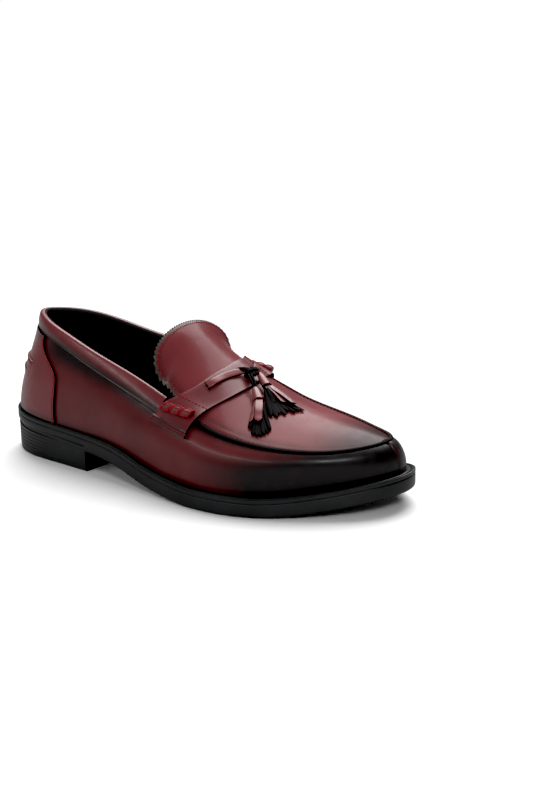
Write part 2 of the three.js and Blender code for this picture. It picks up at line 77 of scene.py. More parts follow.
world = bpy.data.worlds.new("room")
bpy.context.scene.world = world
world.use_nodes = True
sky = world.node_tree.nodes["Background"]
sky.inputs["Color"].default_value = (1, 1, 1, 1)
by_sight(world.node_tree, 0.12, 1.0, sky.inputs["Strength"])
view = bpy.context.scene.view_settings
view.view_transform, view.use_curve_mapping = "Standard", True
view.curve_mapping.black_level = (0.011, 0.011, 0.011)
view.curve_mapping.update()


def lamp(name, place, size, power):
    """Soft box that looks at the shoe."""
    light = bpy.data.lights.new(name, "AREA")
    light.shape, light.size, light.size_y, light.energy = "RECTANGLE", size[0], size[1], power
    holder = bpy.data.objects.new(name, light)
    bpy.context.collection.objects.link(holder)
    holder.location = place
    holder.rotation_euler = (SHOE_MIDDLE - Vector(place)).to_track_quat("-Z", "Y").to_euler()


daylight = bpy.data.lights.new("daylight", "SUN")
daylight.energy, daylight.angle = 4.2, math.radians(56)
window = bpy.data.objects.new("daylight", daylight)
bpy.context.collection.objects.link(window)
window.rotation_euler = Vector((0.22, -0.52, -0.83)).to_track_quat("-Z", "Y").to_euler()
lamp("front_strip", (-0.5, -1.35, 0.85), (2.0, 0.14), 6.5)
lamp("side_box", (1.15, -0.95, 1.1), (0.45, 0.4), 9)

# Outsole: one moulded piece of black rubber. It is cemented under the welt, thin over the
# heel, deep through the arch and forefoot, and filled level inside the welt.
# Every size is in millimetres from the heel's rear end, and a table's rows are shares: of the
# length for places, of the ball's width for half widths.
MM = 0.001
FLAT_SPOT = 0.1
LENGTH, BALL, SWING, HEEL, BREAST, SPRING = 304.0, 110.0, 16.0, 13.7, 88.0, 12.0
SOLE, WELT, HEEL_SEAT, INSIDE = 11.5, 2.6, 8.0, 9.0
ORIGIN = np.array([-152.0, 1.3188, 0.0])
OUTLINE = {
    "at": [0.04, 0.1, 0.18, 0.27, 0.36, 0.46, 0.56, 0.64, 0.72, 0.8, 0.88, 0.95],
    "lateral": [0.215, 0.298, 0.334, 0.364, 0.409, 0.477, 0.545, 0.586, 0.582, 0.518, 0.405, 0.268],
    "medial": [0.21, 0.287, 0.314, 0.3, 0.273, 0.259, 0.295, 0.359, 0.409, 0.409, 0.35, 0.25],
}
UNDERSIDE = {
    "at": [0, 0.1, 0.2, 0.29, 0.39, 0.48, 0.56, 0.63, 0.7, 0.76, 0.82, 0.88, 1],
    "heel": [1.35, 1.22, 1.1, 1, 0.8, 0.36, 0.1, 0, 0, 0, 0, 0, 0],
    "spring": [0, 0, 0, 0, 0, 0, 0, 0, 0, 0, 0.12, 0.36, 1],
}


def spline(xs, ys):
    """Natural cubic curve through a table's rows."""
    xs, ys = np.array(xs, float), np.array(ys, float)
    n, c, d = len(xs), [0.0], [0.0]
    for i in range(1, n - 1):
        a, b = xs[i] - xs[i - 1], xs[i + 1] - xs[i]
        p = 2 * (a + b) - a * c[-1]
        c.append(b / p)
        d.append((6 * ((ys[i + 1] - ys[i]) / b - (ys[i] - ys[i - 1]) / a) - a * d[-1]) / p)
    m = np.zeros(n)
    for i in range(n - 2, 0, -1):
        m[i] = d[i] - c[i] * m[i + 1]

    def curve(x):
        x = np.asarray(x, float)
        i = np.clip(np.searchsorted(xs, x), 1, n - 1)
        h = xs[i] - xs[i - 1]
        a, b = (xs[i] - x) / h, (x - xs[i - 1]) / h
        return a * ys[i - 1] + b * ys[i] + ((a**3 - a) * m[i - 1] + (b**3 - b) * m[i]) * h * h / 6
    return curve


def loop_width(at, widths):
    """Half width along one side of a closed loop, round at both ends."""
    u = np.arccos(1 - 2 * np.array(at)) / np.pi
    return spline([-u[1], -u[0], 0, *u, 1, 2 - u[-1], 2 - u[-2]],
                  [-widths[1], -widths[0], 0, *widths, 0, -widths[-1], -widths[-2]])


def along(u, start, end):
    return start + (end - start) * (1 - np.cos(np.pi * np.asarray(u))) / 2


def station(share):
    return np.arccos(1 - 2 * np.clip(share, 0, 1)) / np.pi


def ease(x, low, high):
    t = np.clip((np.asarray(x, float) - low) / (high - low), 0, 1)
    return t * t * (3 - 2 * t)


def swing(x):
    return SWING * (x / LENGTH) ** 2


heel_share = spline(UNDERSIDE["at"], UNDERSIDE["heel"])
spring_share = spline(UNDERSIDE["at"], UNDERSIDE["spring"])
out_width = [loop_width(OUTLINE["at"], OUTLINE[k]) for k in ("lateral", "medial")]


def under(x):
    s = x / LENGTH
    return (np.maximum(0, HEEL * heel_share(s) - FLAT_SPOT)
            + np.maximum(0, SPRING * spring_share(s) - FLAT_SPOT))


def sole_top(x):
    return under(x) + SOLE


def outline(a):
    """Sole's outline: a is 0 at the heel, 1 at the toe by the outer side, 2 at the heel again."""
    a = np.mod(a, 2)
    u, outer = np.where(a <= 1, a, 2 - a), a <= 1
    x = along(u, 0, LENGTH)
    y = swing(x) + np.where(outer, -out_width[0](u), out_width[1](u)) * BALL
    return np.stack([x, y], -1)


def outward(a):
    t = outline(a + 0.002) - outline(a - 0.002)
    t = t / np.linalg.norm(t, axis=-1, keepdims=True)
    return np.stack([t[..., 1], -t[..., 0]], -1)


def inset(a, depth):
    return outline(a) - outward(a) * np.asarray(depth)[..., None]


def raised(flat, height):
    return np.stack([flat[..., 0], flat[..., 1], height], -1)


def solid_mesh(grid, looks, ring=False, columns=None, marks=None, sharp=40, capped=True):
    """Closed solid through rows of closed sections, given in millimetres from the heel.

    columns gives the look of each strip of faces, and marks are numbers painted on the points.
    """
    rows, cols = grid.shape[:2]
    points = (grid.reshape(-1, 3) + ORIGIN) * MM
    i, j = np.meshgrid(np.arange(rows if ring else rows - 1), np.arange(cols), indexing="ij")
    up, k = (i + 1) % rows, (j + 1) % cols
    faces = np.stack([i * cols + j, i * cols + k, up * cols + k, up * cols + j], -1).reshape(-1, 4)
    paint = np.broadcast_to(0 if columns is None else np.asarray(columns), (rows, cols))
    colors = paint[:len(i)].ravel().tolist()
    if not ring and capped:
        low, last = np.arange(cols // 2 - 1), (rows - 1) * cols
        ladder = np.stack([cols - 1 - low, cols - 2 - low, low + 1, low], -1)
        faces = np.concatenate([faces, ladder, ladder[:, ::-1] + last])
        colors += [int(paint[0, 0])] * len(low) + [int(paint[-1, 0])] * len(low)
    a, b, c, d = (points[faces[:, q]] for q in range(4))
    if np.einsum("ij,ij->", a, np.cross(b, c)) + np.einsum("ij,ij->", a, np.cross(c, d)) < 0:
        faces = faces[:, ::-1]
    mesh = bpy.data.meshes.new("solid")
    mesh.from_pydata(points.tolist(), [], faces.tolist())
    for look in looks:
        mesh.materials.append(look)
    mesh.polygons.foreach_set("material_index", colors)
    for mark, values in (marks or {}).items():
        layer = mesh.attributes.new(mark, "FLOAT", "POINT")
        layer.data.foreach_set("value", np.broadcast_to(values, (rows, cols)).astype(np.float32).ravel())
    work = bmesh.new()
    work.from_mesh(mesh)
    bmesh.ops.remove_doubles(work, verts=work.verts, dist=2e-6)
    bmesh.ops.dissolve_degenerate(work, edges=work.edges, dist=1e-7)
    work.to_mesh(mesh)
    work.free()
    mesh.shade_smooth()
    mesh.set_sharp_from_angle(angle=math.radians(sharp))
    return mesh


def place(name, meshes, slot=None, stands_for=()):
    """One object from meshes that list the same looks; it rides on the shoe."""
    mesh = meshes[0]
    if len(meshes) > 1:
        work = bmesh.new()
        for part in meshes:
            work.from_mesh(part)
        work.to_mesh(mesh)
        work.free()
    made = bpy.data.objects.new(name, mesh)
    bpy.context.collection.objects.link(made)
    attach(made, "root")
    if stands_for:
        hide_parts(*stands_for)
    return made


def piece(name, grid, looks, slot=None, stands_for=(), **how):
    return place(name, [solid_mesh(grid, looks, **how)], slot, stands_for)


def mixer(tree, kind, factor, first, second):
    """Colour mix node with a linked or a plain factor."""
    mix = tree.nodes.new("ShaderNodeMix")
    mix.data_type, mix.blend_type = "RGBA", kind
    for socket, value in ((mix.inputs[0], factor), (mix.inputs[6], first), (mix.inputs[7], second)):
        if isinstance(value, bpy.types.NodeSocket):
            tree.links.new(value, socket)
        else:
            socket.default_value = value if np.ndim(value) == 0 else (*value, 1)
    return mix.outputs[2]


def noise(tree, scale, detail=3.0, rough=0.55, kind="ShaderNodeTexNoise"):
    node = tree.nodes.new(kind)
    node.inputs["Scale"].default_value = scale
    if kind == "ShaderNodeTexNoise":
        node.inputs["Detail"].default_value, node.inputs["Roughness"].default_value = detail, rough
    tree.links.new(tree.nodes["Place"].outputs["Object"], node.inputs["Vector"])
    return node.outputs[0]


def ramp(tree, value, low, high, start=0.0, end=1.0):
    node = tree.nodes.new("ShaderNodeMapRange")
    for socket, number in zip(node.inputs[1:5], (low, high, start, end)):
        socket.default_value = number
    tree.links.new(value, node.inputs[0])
    return node.outputs[0]


def bump(tree, height, depth):
    node = tree.nodes.new("ShaderNodeBump")
    node.inputs["Strength"].default_value = 1.0
    node.inputs["Distance"].default_value = depth
    tree.links.new(height, node.inputs["Height"])
    return node.outputs[0]


def new_look(name, color, roughness, specular=0.5, coat=0.0, coat_roughness=0.2):
    look = bpy.data.materials.new(name)
    look.use_nodes = True
    tree = look.node_tree
    place = tree.nodes.new("ShaderNodeTexCoord")
    place.name = "Place"
    shader = tree.nodes["Principled BSDF"]
    shader.inputs["Base Color"].default_value = (*color, 1)
    shader.inputs["Roughness"].default_value = roughness
    shader.inputs["Specular IOR Level"].default_value = specular
    shader.inputs["Coat Weight"].default_value = coat
    shader.inputs["Coat Roughness"].default_value = coat_roughness
    return look, tree, shader


def rubber_look(name, color, roughness):
    look, tree, shader = new_look(name, color, roughness, 0.3)
    fine, broad = noise(tree, 900, 4), noise(tree, 26, 3)
    tree.links.new(ramp(tree, broad, 0.35, 0.7, roughness - 0.07, roughness + 0.1),
                   shader.inputs["Roughness"])
    tree.links.new(mixer(tree, "MIX", ramp(tree, broad, 0.4, 0.75), color,
                         [c * 1.9 for c in color]), shader.inputs["Base Color"])
    tree.links.new(bump(tree, fine, 0.00004), shader.inputs["Normal"])
    return look


sole_rubber = rubber_look("sole_rubber", (0.015, 0.0155, 0.016), 0.4)


def both_sides(half, stations):
    """Sections from the outer side of the outline across to the inner side."""
    return np.concatenate([half(stations), half(2 - stations)[:, ::-1]], 1)


def sided(stations, rows):
    """Sections of a block whose two sides follow the outline, with rows of insets and heights."""
    def half(a):
        out = []
        for depth, height in rows:
            flat = inset(a, np.broadcast_to(depth, a.shape))
            out.append(raised(flat, height(flat[..., 0], a)))
        return np.stack(out, 1)
    return both_sides(half, stations)


breast = station(BREAST / LENGTH)


def sole_bottom(x, a):
    seat = np.where(a <= 1, a, 2 - a) <= breast + 1e-9
    return np.where(seat, sole_top(x) - HEEL_SEAT, under(x))


arch = station((BREAST + 0.6) / LENGTH)
sole_stations = np.concatenate([np.linspace(0, breast, 60), np.linspace(arch, 1, 150)])
sole_shelf = lambda x, a: sole_top(x) - WELT - 0.05
piece("outsole_rubber", sided(sole_stations, [
    (6.0, sole_bottom), (1.6, sole_bottom), (0.9, lambda x, a: sole_bottom(x, a) + 0.15),
    (0.35, lambda x, a: sole_bottom(x, a) + 0.6), (0.1, lambda x, a: sole_bottom(x, a) + 1.3),
    (0.0, lambda x, a: sole_bottom(x, a) + 2.4), (0.0, lambda x, a: sole_shelf(x, a) - 1.0),
    (0.12, lambda x, a: sole_shelf(x, a) - 0.35), (0.5, lambda x, a: sole_shelf(x, a) - 0.04),
    (1.2, sole_shelf), (INSIDE + 0.3, sole_shelf), (INSIDE + 0.3, lambda x, a: sole_top(x)),
]), [sole_rubber], stands_for=["outsole"], slot="sole_rubber", sharp=50)

# Heel: a block of the same rubber under the seat. Its back half has fine moulded grooves that
# fade out towards the breast, and a deeper groove runs under the sole's edge.
GROOVE, DEEP_GROOVE = 0.3, 0.9
heel_rows = [(6, 0, 0), (1.6, 0, 0), (1.2, 0.03, 0), (0.95, 0.09, 0)]
for level in (0.3, 0.42, 0.54, 0.66, 0.78):
    heel_rows += [(0.7, level + away, cut)
                  for away, cut in ((-0.03, 0), (-0.012, GROOVE), (0.012, GROOVE), (0.03, 0))]
heel_rows += [(0.6, 0.87, 0)] + [(0.6, level, DEEP_GROOVE) for level in (0.9, 0.975, 1.0)]
heel_stations = np.linspace(0, station((BREAST - 0.1) / LENGTH), 90)


def heel_half(a):
    fade = 1 - ease(outline(a)[..., 0], 30, 80)
    rows = []
    for depth, share, cut in heel_rows:
        flat = inset(a, depth + cut * (fade if cut < DEEP_GROOVE else 0.25 + 0.75 * fade))
        rows.append(raised(flat, (sole_top(flat[..., 0]) - HEEL_SEAT - 0.05) * share))
    return np.stack(rows, 1)


piece("heel_block", both_sides(heel_half, heel_stations), [sole_rubber], stands_for=["heel"],
      slot="heel_rubber", sharp=35)

# Welt: the top layer of the sole edge, a strip of rubber cemented all round the foot of the
# upper, with a rounded lip, a groove for the stitches and an inner bead against the leather.
FLANGE = spline([0, 0.1, 0.2, 0.4, 0.66, 1], [0.33, 0.26, 0.22, 0.35, 0.43, 0.43])


def flange(x):
    return SOLE * FLANGE(np.asarray(x) / LENGTH)


loop = np.linspace(0, 2, 420, endpoint=False)
welt_ledge = flange(outline(loop)[..., 0])
welt_rows = []
for share, depth, lift in [
        (0, 0.5, -WELT), (0, 0.12, -WELT + 0.15), (0, 0, -WELT + 0.6), (0, 0, -0.55), (0, 0.1, -0.2),
        (0.1, 0.1, 0), (0.2, 0, 0.02), (0.27, 0, -0.25), (0.33, 0, -0.85), (0.55, 0, -0.85),
        (0.62, 0, -0.3), (0.7, 0, 0.1), (0.84, 0, 0.22), (1.0, 0, 0.0), (0, INSIDE - 0.4, 0),
        (0, INSIDE - 0.4, -WELT)]:
    flat = inset(loop, welt_ledge * share + depth)
    welt_rows.append(raised(flat, sole_top(flat[..., 0]) + lift))
piece("welt_strip", np.stack(welt_rows, 1), [sole_rubber], ring=True, stands_for=["welt"],
      slot="welt_rubber", sharp=50)

# Upper: two layers of burnished leather and black lining, drawn over the last and turned in
# under the foot. It is burnished nearly black at the toe and darker just above the welt, and
# painted shade darkens the wall low down towards the toe, under the seam ridge and under the
# collar band.
TOP_BACK, TOP_FRONT, COLLAR, WALL, RIDGE = 20.5, 289.5, 97.0, 2.0, 1.2
TOPLINE = {
    "at": [0.03, 0.09, 0.18, 0.27, 0.37, 0.46, 0.53, 0.62, 0.7, 0.78, 0.86, 0.93, 0.97],
    "lateral": [0.1, 0.182, 0.245, 0.282, 0.309, 0.341, 0.382, 0.427, 0.445, 0.432, 0.373, 0.273, 0.182],
    "medial": [0.1, 0.182, 0.236, 0.268, 0.291, 0.305, 0.305, 0.3, 0.295, 0.277, 0.236, 0.168, 0.118],
}
TOPHEIGHT = {
    "at": [0, 0.05, 0.18, 0.27, 0.37, 0.46, 0.52, 0.58, 0.656, 0.71, 0.78, 0.86, 0.93, 1],
    "lateral": [1, 0.979, 0.902, 0.83, 0.751, 0.675, 0.624,
                0.562, 0.5, 0.472, 0.445, 0.426, 0.423, 0.443],
    "medial": [1, 0.99, 0.923, 0.861, 0.814, 0.784, 0.753,
               0.68, 0.598, 0.546, 0.505, 0.474, 0.454, 0.443],
}
SIDE = {
    "at": [0, 0.15, 0.3, 0.46, 0.6, 0.75, 0.9, 1],
    "belly": ([-0.2, 0.17, 0.2, 0.3, 0.3, 0.26, 0.17, 0.09],
              [-0.2, 0.17, 0.4, 0.75, 0.5, 0.3, 0.17, 0.09]),
    "shoulder": ([0.36, 0.5, 0.6, 0.85, 0.95, 0.95, 0.8, 0.6],
                 [0.36, 0.42, 0.45, 0.5, 0.75, 0.85, 0.75, 0.6]),
    "rise": [0.4, 0.4, 0.42, 0.45, 0.5, 0.5, 0.45, 0.4],
    "drop": [0.35, 0.35, 0.32, 0.28, 0.2, 0.16, 0.12, 0.1],
}
top_width = [loop_width(TOPLINE["at"], TOPLINE[k]) for k in ("lateral", "medial")]
top_height = [spline(TOPHEIGHT["at"], TOPHEIGHT[k]) for k in ("lateral", "medial")]
belly, shoulder = ([spline(SIDE["at"], row) for row in SIDE[k]] for k in ("belly", "shoulder"))
rise, drop = (spline(SIDE["at"], SIDE[k]) for k in ("rise", "drop"))


def round_top(x):
    """How far round the top line a place x lies, by the outer side."""
    return station((x - TOP_BACK) / (TOP_FRONT - TOP_BACK))


def collar_part(x):
    """1 round the open collar, 0 where the wall meets the apron."""
    return 1 - ease(x, 160, 185)


def top_point(a):
    a = np.mod(a, 2)
    outer = a <= 1
    u = np.where(outer, a, 2 - a)
    x = along(u, TOP_BACK, TOP_FRONT)
    share = (x - TOP_BACK) / (TOP_FRONT - TOP_BACK)
    y = swing(x) + BALL * np.where(outer, -top_width[0](u), top_width[1](u))
    z = COLLAR * np.where(outer, top_height[0](share), top_height[1](share)) - 1.5 * collar_part(x)
    return np.stack([x, y, z], -1)


def wall_point(a, t):
    """Outer face of the upper: a walks round the foot, t climbs from the sole to the top line."""
    a, t = np.broadcast_arrays(np.mod(a, 2), np.asarray(t, float))
    outer = a <= 1
    u = np.where(outer, a, 2 - a)
    s = (1 - np.cos(np.pi * u)) / 2
    low, out, top = inset(a, flange(along(u, 0, LENGTH))), outward(a), top_point(a)
    foot = raised(low, sole_top(low[..., 0]) + 0.3)
    height = top[..., 2] - foot[..., 2]
    b = SOLE * np.where(outer, belly[0](s), belly[1](s))
    c = SOLE * np.where(outer, shoulder[0](s), shoulder[1](s))
    p1 = foot + np.stack([out[..., 0] * b, out[..., 1] * b, height * rise(s)], -1)
    p2 = top + np.stack([out[..., 0] * c, out[..., 1] * c, -height * drop(s)], -1)
    q = t[..., None]
    return foot * (1 - q)**3 + p1 * 3 * q * (1 - q)**2 + p2 * 3 * q * q * (1 - q) + top * q**3


def unit(v):
    return v / np.maximum(np.linalg.norm(v, axis=-1, keepdims=True), 1e-9)


def wall(a, t, out=0.0):
    """Points off the wall, out millimetres along its normal."""
    e = 0.004
    t0 = np.clip(t, e, 1 - e)
    da = wall_point(np.asarray(a) + e, t0) - wall_point(np.asarray(a) - e, t0)
    dt = wall_point(a, t0 + e) - wall_point(a, t0 - e)
    return wall_point(a, t) + unit(np.cross(da, dt)) * np.asarray(out, float)[..., None]


def leather_look(name, tone, worn, dark, roughness, grain=1.0, shine=0.34):
    """Polished leather in two tones, darkened by the mesh's mark of real burnish and painted shade."""
    look, tree, shader = new_look(name, tone, roughness, shine, 0.07, 0.12)
    broad, cloudy = noise(tree, 22, 3), noise(tree, 130, 4)
    burnish_and_shade_mark = tree.nodes.new("ShaderNodeAttribute")
    burnish_and_shade_mark.attribute_name = "burnish_and_painted_shade"
    blend = tree.nodes.new("ShaderNodeMath")
    blend.operation, blend.use_clamp = "MULTIPLY_ADD", True
    tree.links.new(burnish_and_shade_mark.outputs["Fac"], blend.inputs[0])
    tree.links.new(ramp(tree, cloudy, 0.3, 0.7, 0.96, 1.1), blend.inputs[1])
    blend.inputs[2].default_value = 0.0
    lively = mixer(tree, "MIX", ramp(tree, broad, 0.35, 0.7), tone, worn)
    tree.links.new(mixer(tree, "MIX", blend.outputs[0], lively, dark), shader.inputs["Base Color"])
    tree.links.new(ramp(tree, cloudy, 0.3, 0.75, roughness - 0.05, roughness + 0.09),
                   shader.inputs["Roughness"])
    tree.links.new(bump(tree, noise(tree, 320, 2, 0.5), 0.00005 * grain), shader.inputs["Normal"])
    return look


def lining_look(name, color):
    look, tree, shader = new_look(name, color, 0.85, 0.15)
    tree.links.new(bump(tree, noise(tree, 1100, kind="ShaderNodeTexVoronoi"), 0.00005),
                   shader.inputs["Normal"])
    tree.links.new(mixer(tree, "MIX", noise(tree, 60, 3), color, [c * 1.8 for c in color]),
                   shader.inputs["Base Color"])
    return look


def closed(outside, inside):
    """Closed sections: the rows of the outer face, then those of the inner face on the way back."""
    return np.concatenate([outside, inside[:, ::-1]], 1)


upper_leather = leather_look("upper_leather", (0.1, 0.015, 0.017), (0.14, 0.023, 0.026),
                             (0.006, 0.0045, 0.005), 0.36)
black_lining = lining_look("black_lining", (0.017, 0.016, 0.016))
ring_a = np.linspace(0, 2, 480, endpoint=False)[:, None]
climb_top = [0.895, 0.9, 0.905, 0.91, 0.915, 0.92, 0.925, 0.935, 0.95, 0.97, 1.0]
climb = np.concatenate([np.linspace(0, 0.88, 40), climb_top])
ring_x = along(np.where(ring_a <= 1, ring_a, 2 - ring_a), TOP_BACK, TOP_FRONT)
front_part = 1 - collar_part(ring_x)
step_in = -RIDGE * front_part * (0.75 + 0.25 * ease(climb, 0.6, 0.85))
shell_out = wall(ring_a, climb, step_in)
shell_in = wall(ring_a, climb[::4], np.minimum(-WALL, step_in[:, ::4] - WALL + 0.4))
wall_burnish_and_shade = np.maximum.reduce([
    # burnished nearly black at the toe; its reach further back low on the wall is painted shade
    ease(ring_x + 38 * (1 - ease(climb, 0.35, 0.8)), 215, 270),
    # painted shade under the seam ridge, and under the collar band round the back
    0.75 * ease(climb, 0.78, 0.9) * np.ones_like(ring_x),
    # darker just above the welt
    0.7 * (1 - ease(climb, 0.0, 0.09)) * np.ones_like(ring_x),
    # painted shade high on the side walls under the collar band
    0.95 * ease(climb, 0.58, 0.8) * (1 - front_part) * ease(ring_x, 30, 60),
])
marks = np.concatenate([wall_burnish_and_shade, np.zeros(shell_in.shape[:2])], 1)
side_columns = [0] * (len(climb) - 1) + [1] * (shell_in.shape[1] + 1)
piece("upper_shell", closed(shell_out, shell_in), [upper_leather, black_lining], ring=True,
      columns=side_columns, marks={"burnish_and_painted_shade": marks}, stands_for=["upper"], slot="upper_leather",
      sharp=50)

# Insole: a padded sock of black leather with a soft rounded rim. It is glued over the inner
# sole, inside the foot of the wall.
sock = lambda a: flange(along(np.where(a <= 1, a, 2 - a), 0, LENGTH)) + WALL + RIDGE + 1


def insole_half(a):
    rows = []
    for extra, lift in [(0, 0.3), (0, 2.2), (0.3, 2.8), (1.0, 3.2), (4.0, 3.3)]:
        flat = inset(a, sock(a) + extra)
        rows.append(raised(flat, sole_top(flat[..., 0]) + lift))
    return np.stack(rows, 1)


piece("insole_sock", both_sides(insole_half, np.linspace(0, 1, 120)), [black_lining],
      stands_for=["insole"], slot="lining", sharp=60)

# Seam ridge: round the front, the cut edges of wall and apron stand up together as a small
# black ridge, closed by red hand stitches on its inner side. A pale strip along its top outer
# edge is a painted highlight.
black_edge, edge_tree, edge_shader = new_look("black_edge", (0.006, 0.005, 0.005), 0.62, 0.05)
edge_tree.links.new(bump(edge_tree, noise(edge_tree, 900, 5), 0.00008), edge_shader.inputs["Normal"])
# Pale edge: thin pale lines on edges and folds; on top of the seam ridge it is a painted highlight.
pale_edge_and_painted_glint, pale_tree, pale_shader = new_look("pale_edge_and_painted_glint", (0.07, 0.05, 0.045), 0.5, 0.3)
pale_tree.links.new(
    mixer(pale_tree, "MIX", noise(pale_tree, 400, 4), (0.045, 0.028, 0.025), (0.11, 0.085, 0.075)),
    pale_shader.inputs["Base Color"])
RIDGE_FROM = 168.0
ridge_a = np.linspace(round_top(RIDGE_FROM), 2 - round_top(RIDGE_FROM), 400)
ridge_tip = unit(wall(ridge_a, 1.0) - wall(ridge_a, 0.97))
ridge_rows = []
for t, out, up in [
        (0.91, -1.8, 0), (0.913, -0.5, 0), (0.922, -0.15, 0), (0.94, 0.0, 0), (0.965, 0.02, 0),
        (0.985, -0.05, 0), (1.0, -0.2, 0.05), (1.0, -0.4, 0.22), (1.0, -0.75, 0.2), (1.0, -1.0, 0.02),
        (1.0, -1.25, 0.02), (1.0, -1.5, 0.2), (1.0, -2.1, 0.12), (1.0, -2.5, -0.3), (1.0, -2.6, -1.4),
        (0.93, -2.6, 0)]:
    ridge_rows.append(wall(ridge_a, t, out) + ridge_tip * up)
# the two pale rows on the ridge's top outer edge are a painted highlight
piece("seam_ridge", np.stack(ridge_rows, 1), [black_edge, pale_edge_and_painted_glint], slot="upper_leather", sharp=60,
      columns=[0] * 6 + [1, 1] + [0] * 8)


def thread_look(name, color, dark, from_x, to_x):
    """Waxed thread, stained darker towards the toe."""
    look, tree, shader = new_look(name, color, 0.55, 0.3)
    across = tree.nodes.new("ShaderNodeSeparateXYZ")
    tree.links.new(tree.nodes["Place"].outputs["Object"], across.inputs[0])
    twist = noise(tree, 1800, 2)
    stain = mixer(tree, "MIX", ramp(tree, across.outputs[0], from_x, to_x), color, dark)
    tree.links.new(mixer(tree, "MULTIPLY", 0.5, stain, twist), shader.inputs["Base Color"])
    tree.links.new(bump(tree, twist, 0.0001), shader.inputs["Normal"])
    return look


red_thread = thread_look("red_thread", (0.46, 0.009, 0.018), (0.09, 0.006, 0.008), 0.075, 0.125)
stained_thread = thread_look("stained_thread", (0.13, 0.009, 0.012), (0.03, 0.006, 0.007), 0.02, 0.12)
dark_thread = thread_look("dark_thread", (0.02, 0.012, 0.012), (0.01, 0.007, 0.007), 0.0, 0.1)


def node_tree(name, **sizes):
    """Empty Geometry Nodes tree with a named input for each size, its inputs' ends and its result."""
    tree = bpy.data.node_groups.new(name, "GeometryNodeTree")
    for size, kind in (("Geometry", "Geometry"), *sizes.items()):
        tree.interface.new_socket(size, in_out="INPUT", socket_type="NodeSocket" + kind)
    tree.interface.new_socket("Geometry", in_out="OUTPUT", socket_type="NodeSocketGeometry")
    return tree, tree.nodes.new("NodeGroupInput").outputs, tree.nodes.new("NodeGroupOutput")


def node(tree, kind, *links, **settings):
    """First output of a new node; each link is an output or a plain value, and its input."""
    made = tree.nodes.new(kind if "Node" in kind else "GeometryNode" + kind)
    for setting, value in settings.items():
        setattr(made, setting, value)
    for source, socket in links:
        if isinstance(source, bpy.types.NodeSocket):
            tree.links.new(source, made.inputs[socket])
        else:
            made.inputs[socket].default_value = source
    return made.outputs[0]


def end_tree(tree, shape, given, result):
    """Real smooth faces in the given thread, as what the tree makes."""
    smooth = node(tree, "SetShadeSmooth", (node(tree, "RealizeInstances", (shape, 0)), 0))
    made = node(tree, "SetMaterial", (smooth, "Geometry"), (given["Thread"], "Material"))
    tree.links.new(made, result.inputs[0])


stitch_tree, given, result = node_tree("stitch_row", Pitch="Float", Length="Float", Thickness="Float",
                                       Thread="Material")
lane = node(stitch_tree, "MeshToCurve", (given["Geometry"], "Mesh"))
holes = node(stitch_tree, "ResampleCurve", (lane, "Curve"), (given["Pitch"], "Length"), mode="LENGTH")
bead = node(stitch_tree, "MeshUVSphere", (8, "Segments"), (5, "Rings"), (0.5, "Radius"))
size = node(stitch_tree, "ShaderNodeCombineXYZ", (given["Thickness"], 0), (given["Thickness"], 1),
            (given["Length"], 2))
turned = node(stitch_tree, "FunctionNodeAlignRotationToVector",
              (node(stitch_tree, "InputTangent"), "Vector"), axis="Z")
wobble = node(stitch_tree, "FunctionNodeRandomValue", ((-0.07, -0.07, 0), 0), ((0.07, 0.07, 0), 1),
              (7, "Seed"), data_type="FLOAT_VECTOR")
uneven = node(stitch_tree, "FunctionNodeRotateRotation", (turned, 0), (wobble, 1),
              rotation_space="LOCAL")
end_tree(stitch_tree, node(stitch_tree, "InstanceOnPoints", (holes, "Points"), (bead, "Instance"),
                           (uneven, "Rotation"), (size, "Scale")), given, result)


def run_tree(name, tree, lines, looped, slot, **sizes):
    """Plain mesh that a node tree makes along lines of points, given in millimetres from the heel."""
    points, edges = [], []
    for line in lines:
        first = len(points)
        points += ((np.asarray(line) + ORIGIN) * MM).tolist()
        edges += [(k, k + 1) for k in range(first, len(points) - 1)]
        edges += [(len(points) - 1, first)] if looped else []
    guide = bpy.data.meshes.new(name + "_guide")
    guide.from_pydata(points, edges, [])
    holder = bpy.data.objects.new(name, guide)
    bpy.context.collection.objects.link(holder)
    runner = holder.modifiers.new("run", "NODES")
    runner.node_group = tree
    for item in tree.interface.items_tree:
        if item.in_out == "INPUT" and item.name in sizes:
            runner[item.identifier] = sizes[item.name]
    done = bpy.data.meshes.new_from_object(holder.evaluated_get(bpy.context.evaluated_depsgraph_get()))
    bpy.data.objects.remove(holder)
    return place(name, [done], slot)


def stitches(name, lines, pitch, length, thickness, thread, slot):
    return run_tree(name, stitch_tree, lines, False, slot, Pitch=pitch * MM, Length=length * MM,
                    Thickness=thickness * MM, Thread=thread)


def on_plate(flat, up):
    return on_apron(flat[..., 0], flat[..., 1], np.full(flat.shape[:-1], up))


# Apron and tongue: one plate of polished leather, crowned over the instep. Its free end behind
# the strap is pinked along the edge, and a red stitch row runs inside the teeth.
TONGUE_BACK, TONGUE_WIDE, PINKED_TO, PLATE, HEM = 143.0, 156.0, 166.0, 1.8, 2.2
OUTER_FLARE, INNER_FLARE, TUCK = 3.4, 7.0, 1.3
crest_share = spline([0.47, 0.493, 0.526, 0.566, 0.599, 0.628, 0.674, 0.724, 0.789, 0.855, 0.914, 0.95],
                     [1.046, 0.995, 0.918, 0.825, 0.756, 0.699, 0.632, 0.58, 0.531, 0.495, 0.46, 0.43])
crown_share = spline([0.47, 0.487, 0.503, 0.526, 0.55], [0.3, 0.42, 0.72, 0.95, 1])


def edge_of_top(x, outer):
    u = round_top(np.asarray(x, float))
    return top_point(np.where(outer, u, 2 - u))


def half_top(x, outer):
    return np.abs(edge_of_top(x, outer)[..., 1] - swing(x))


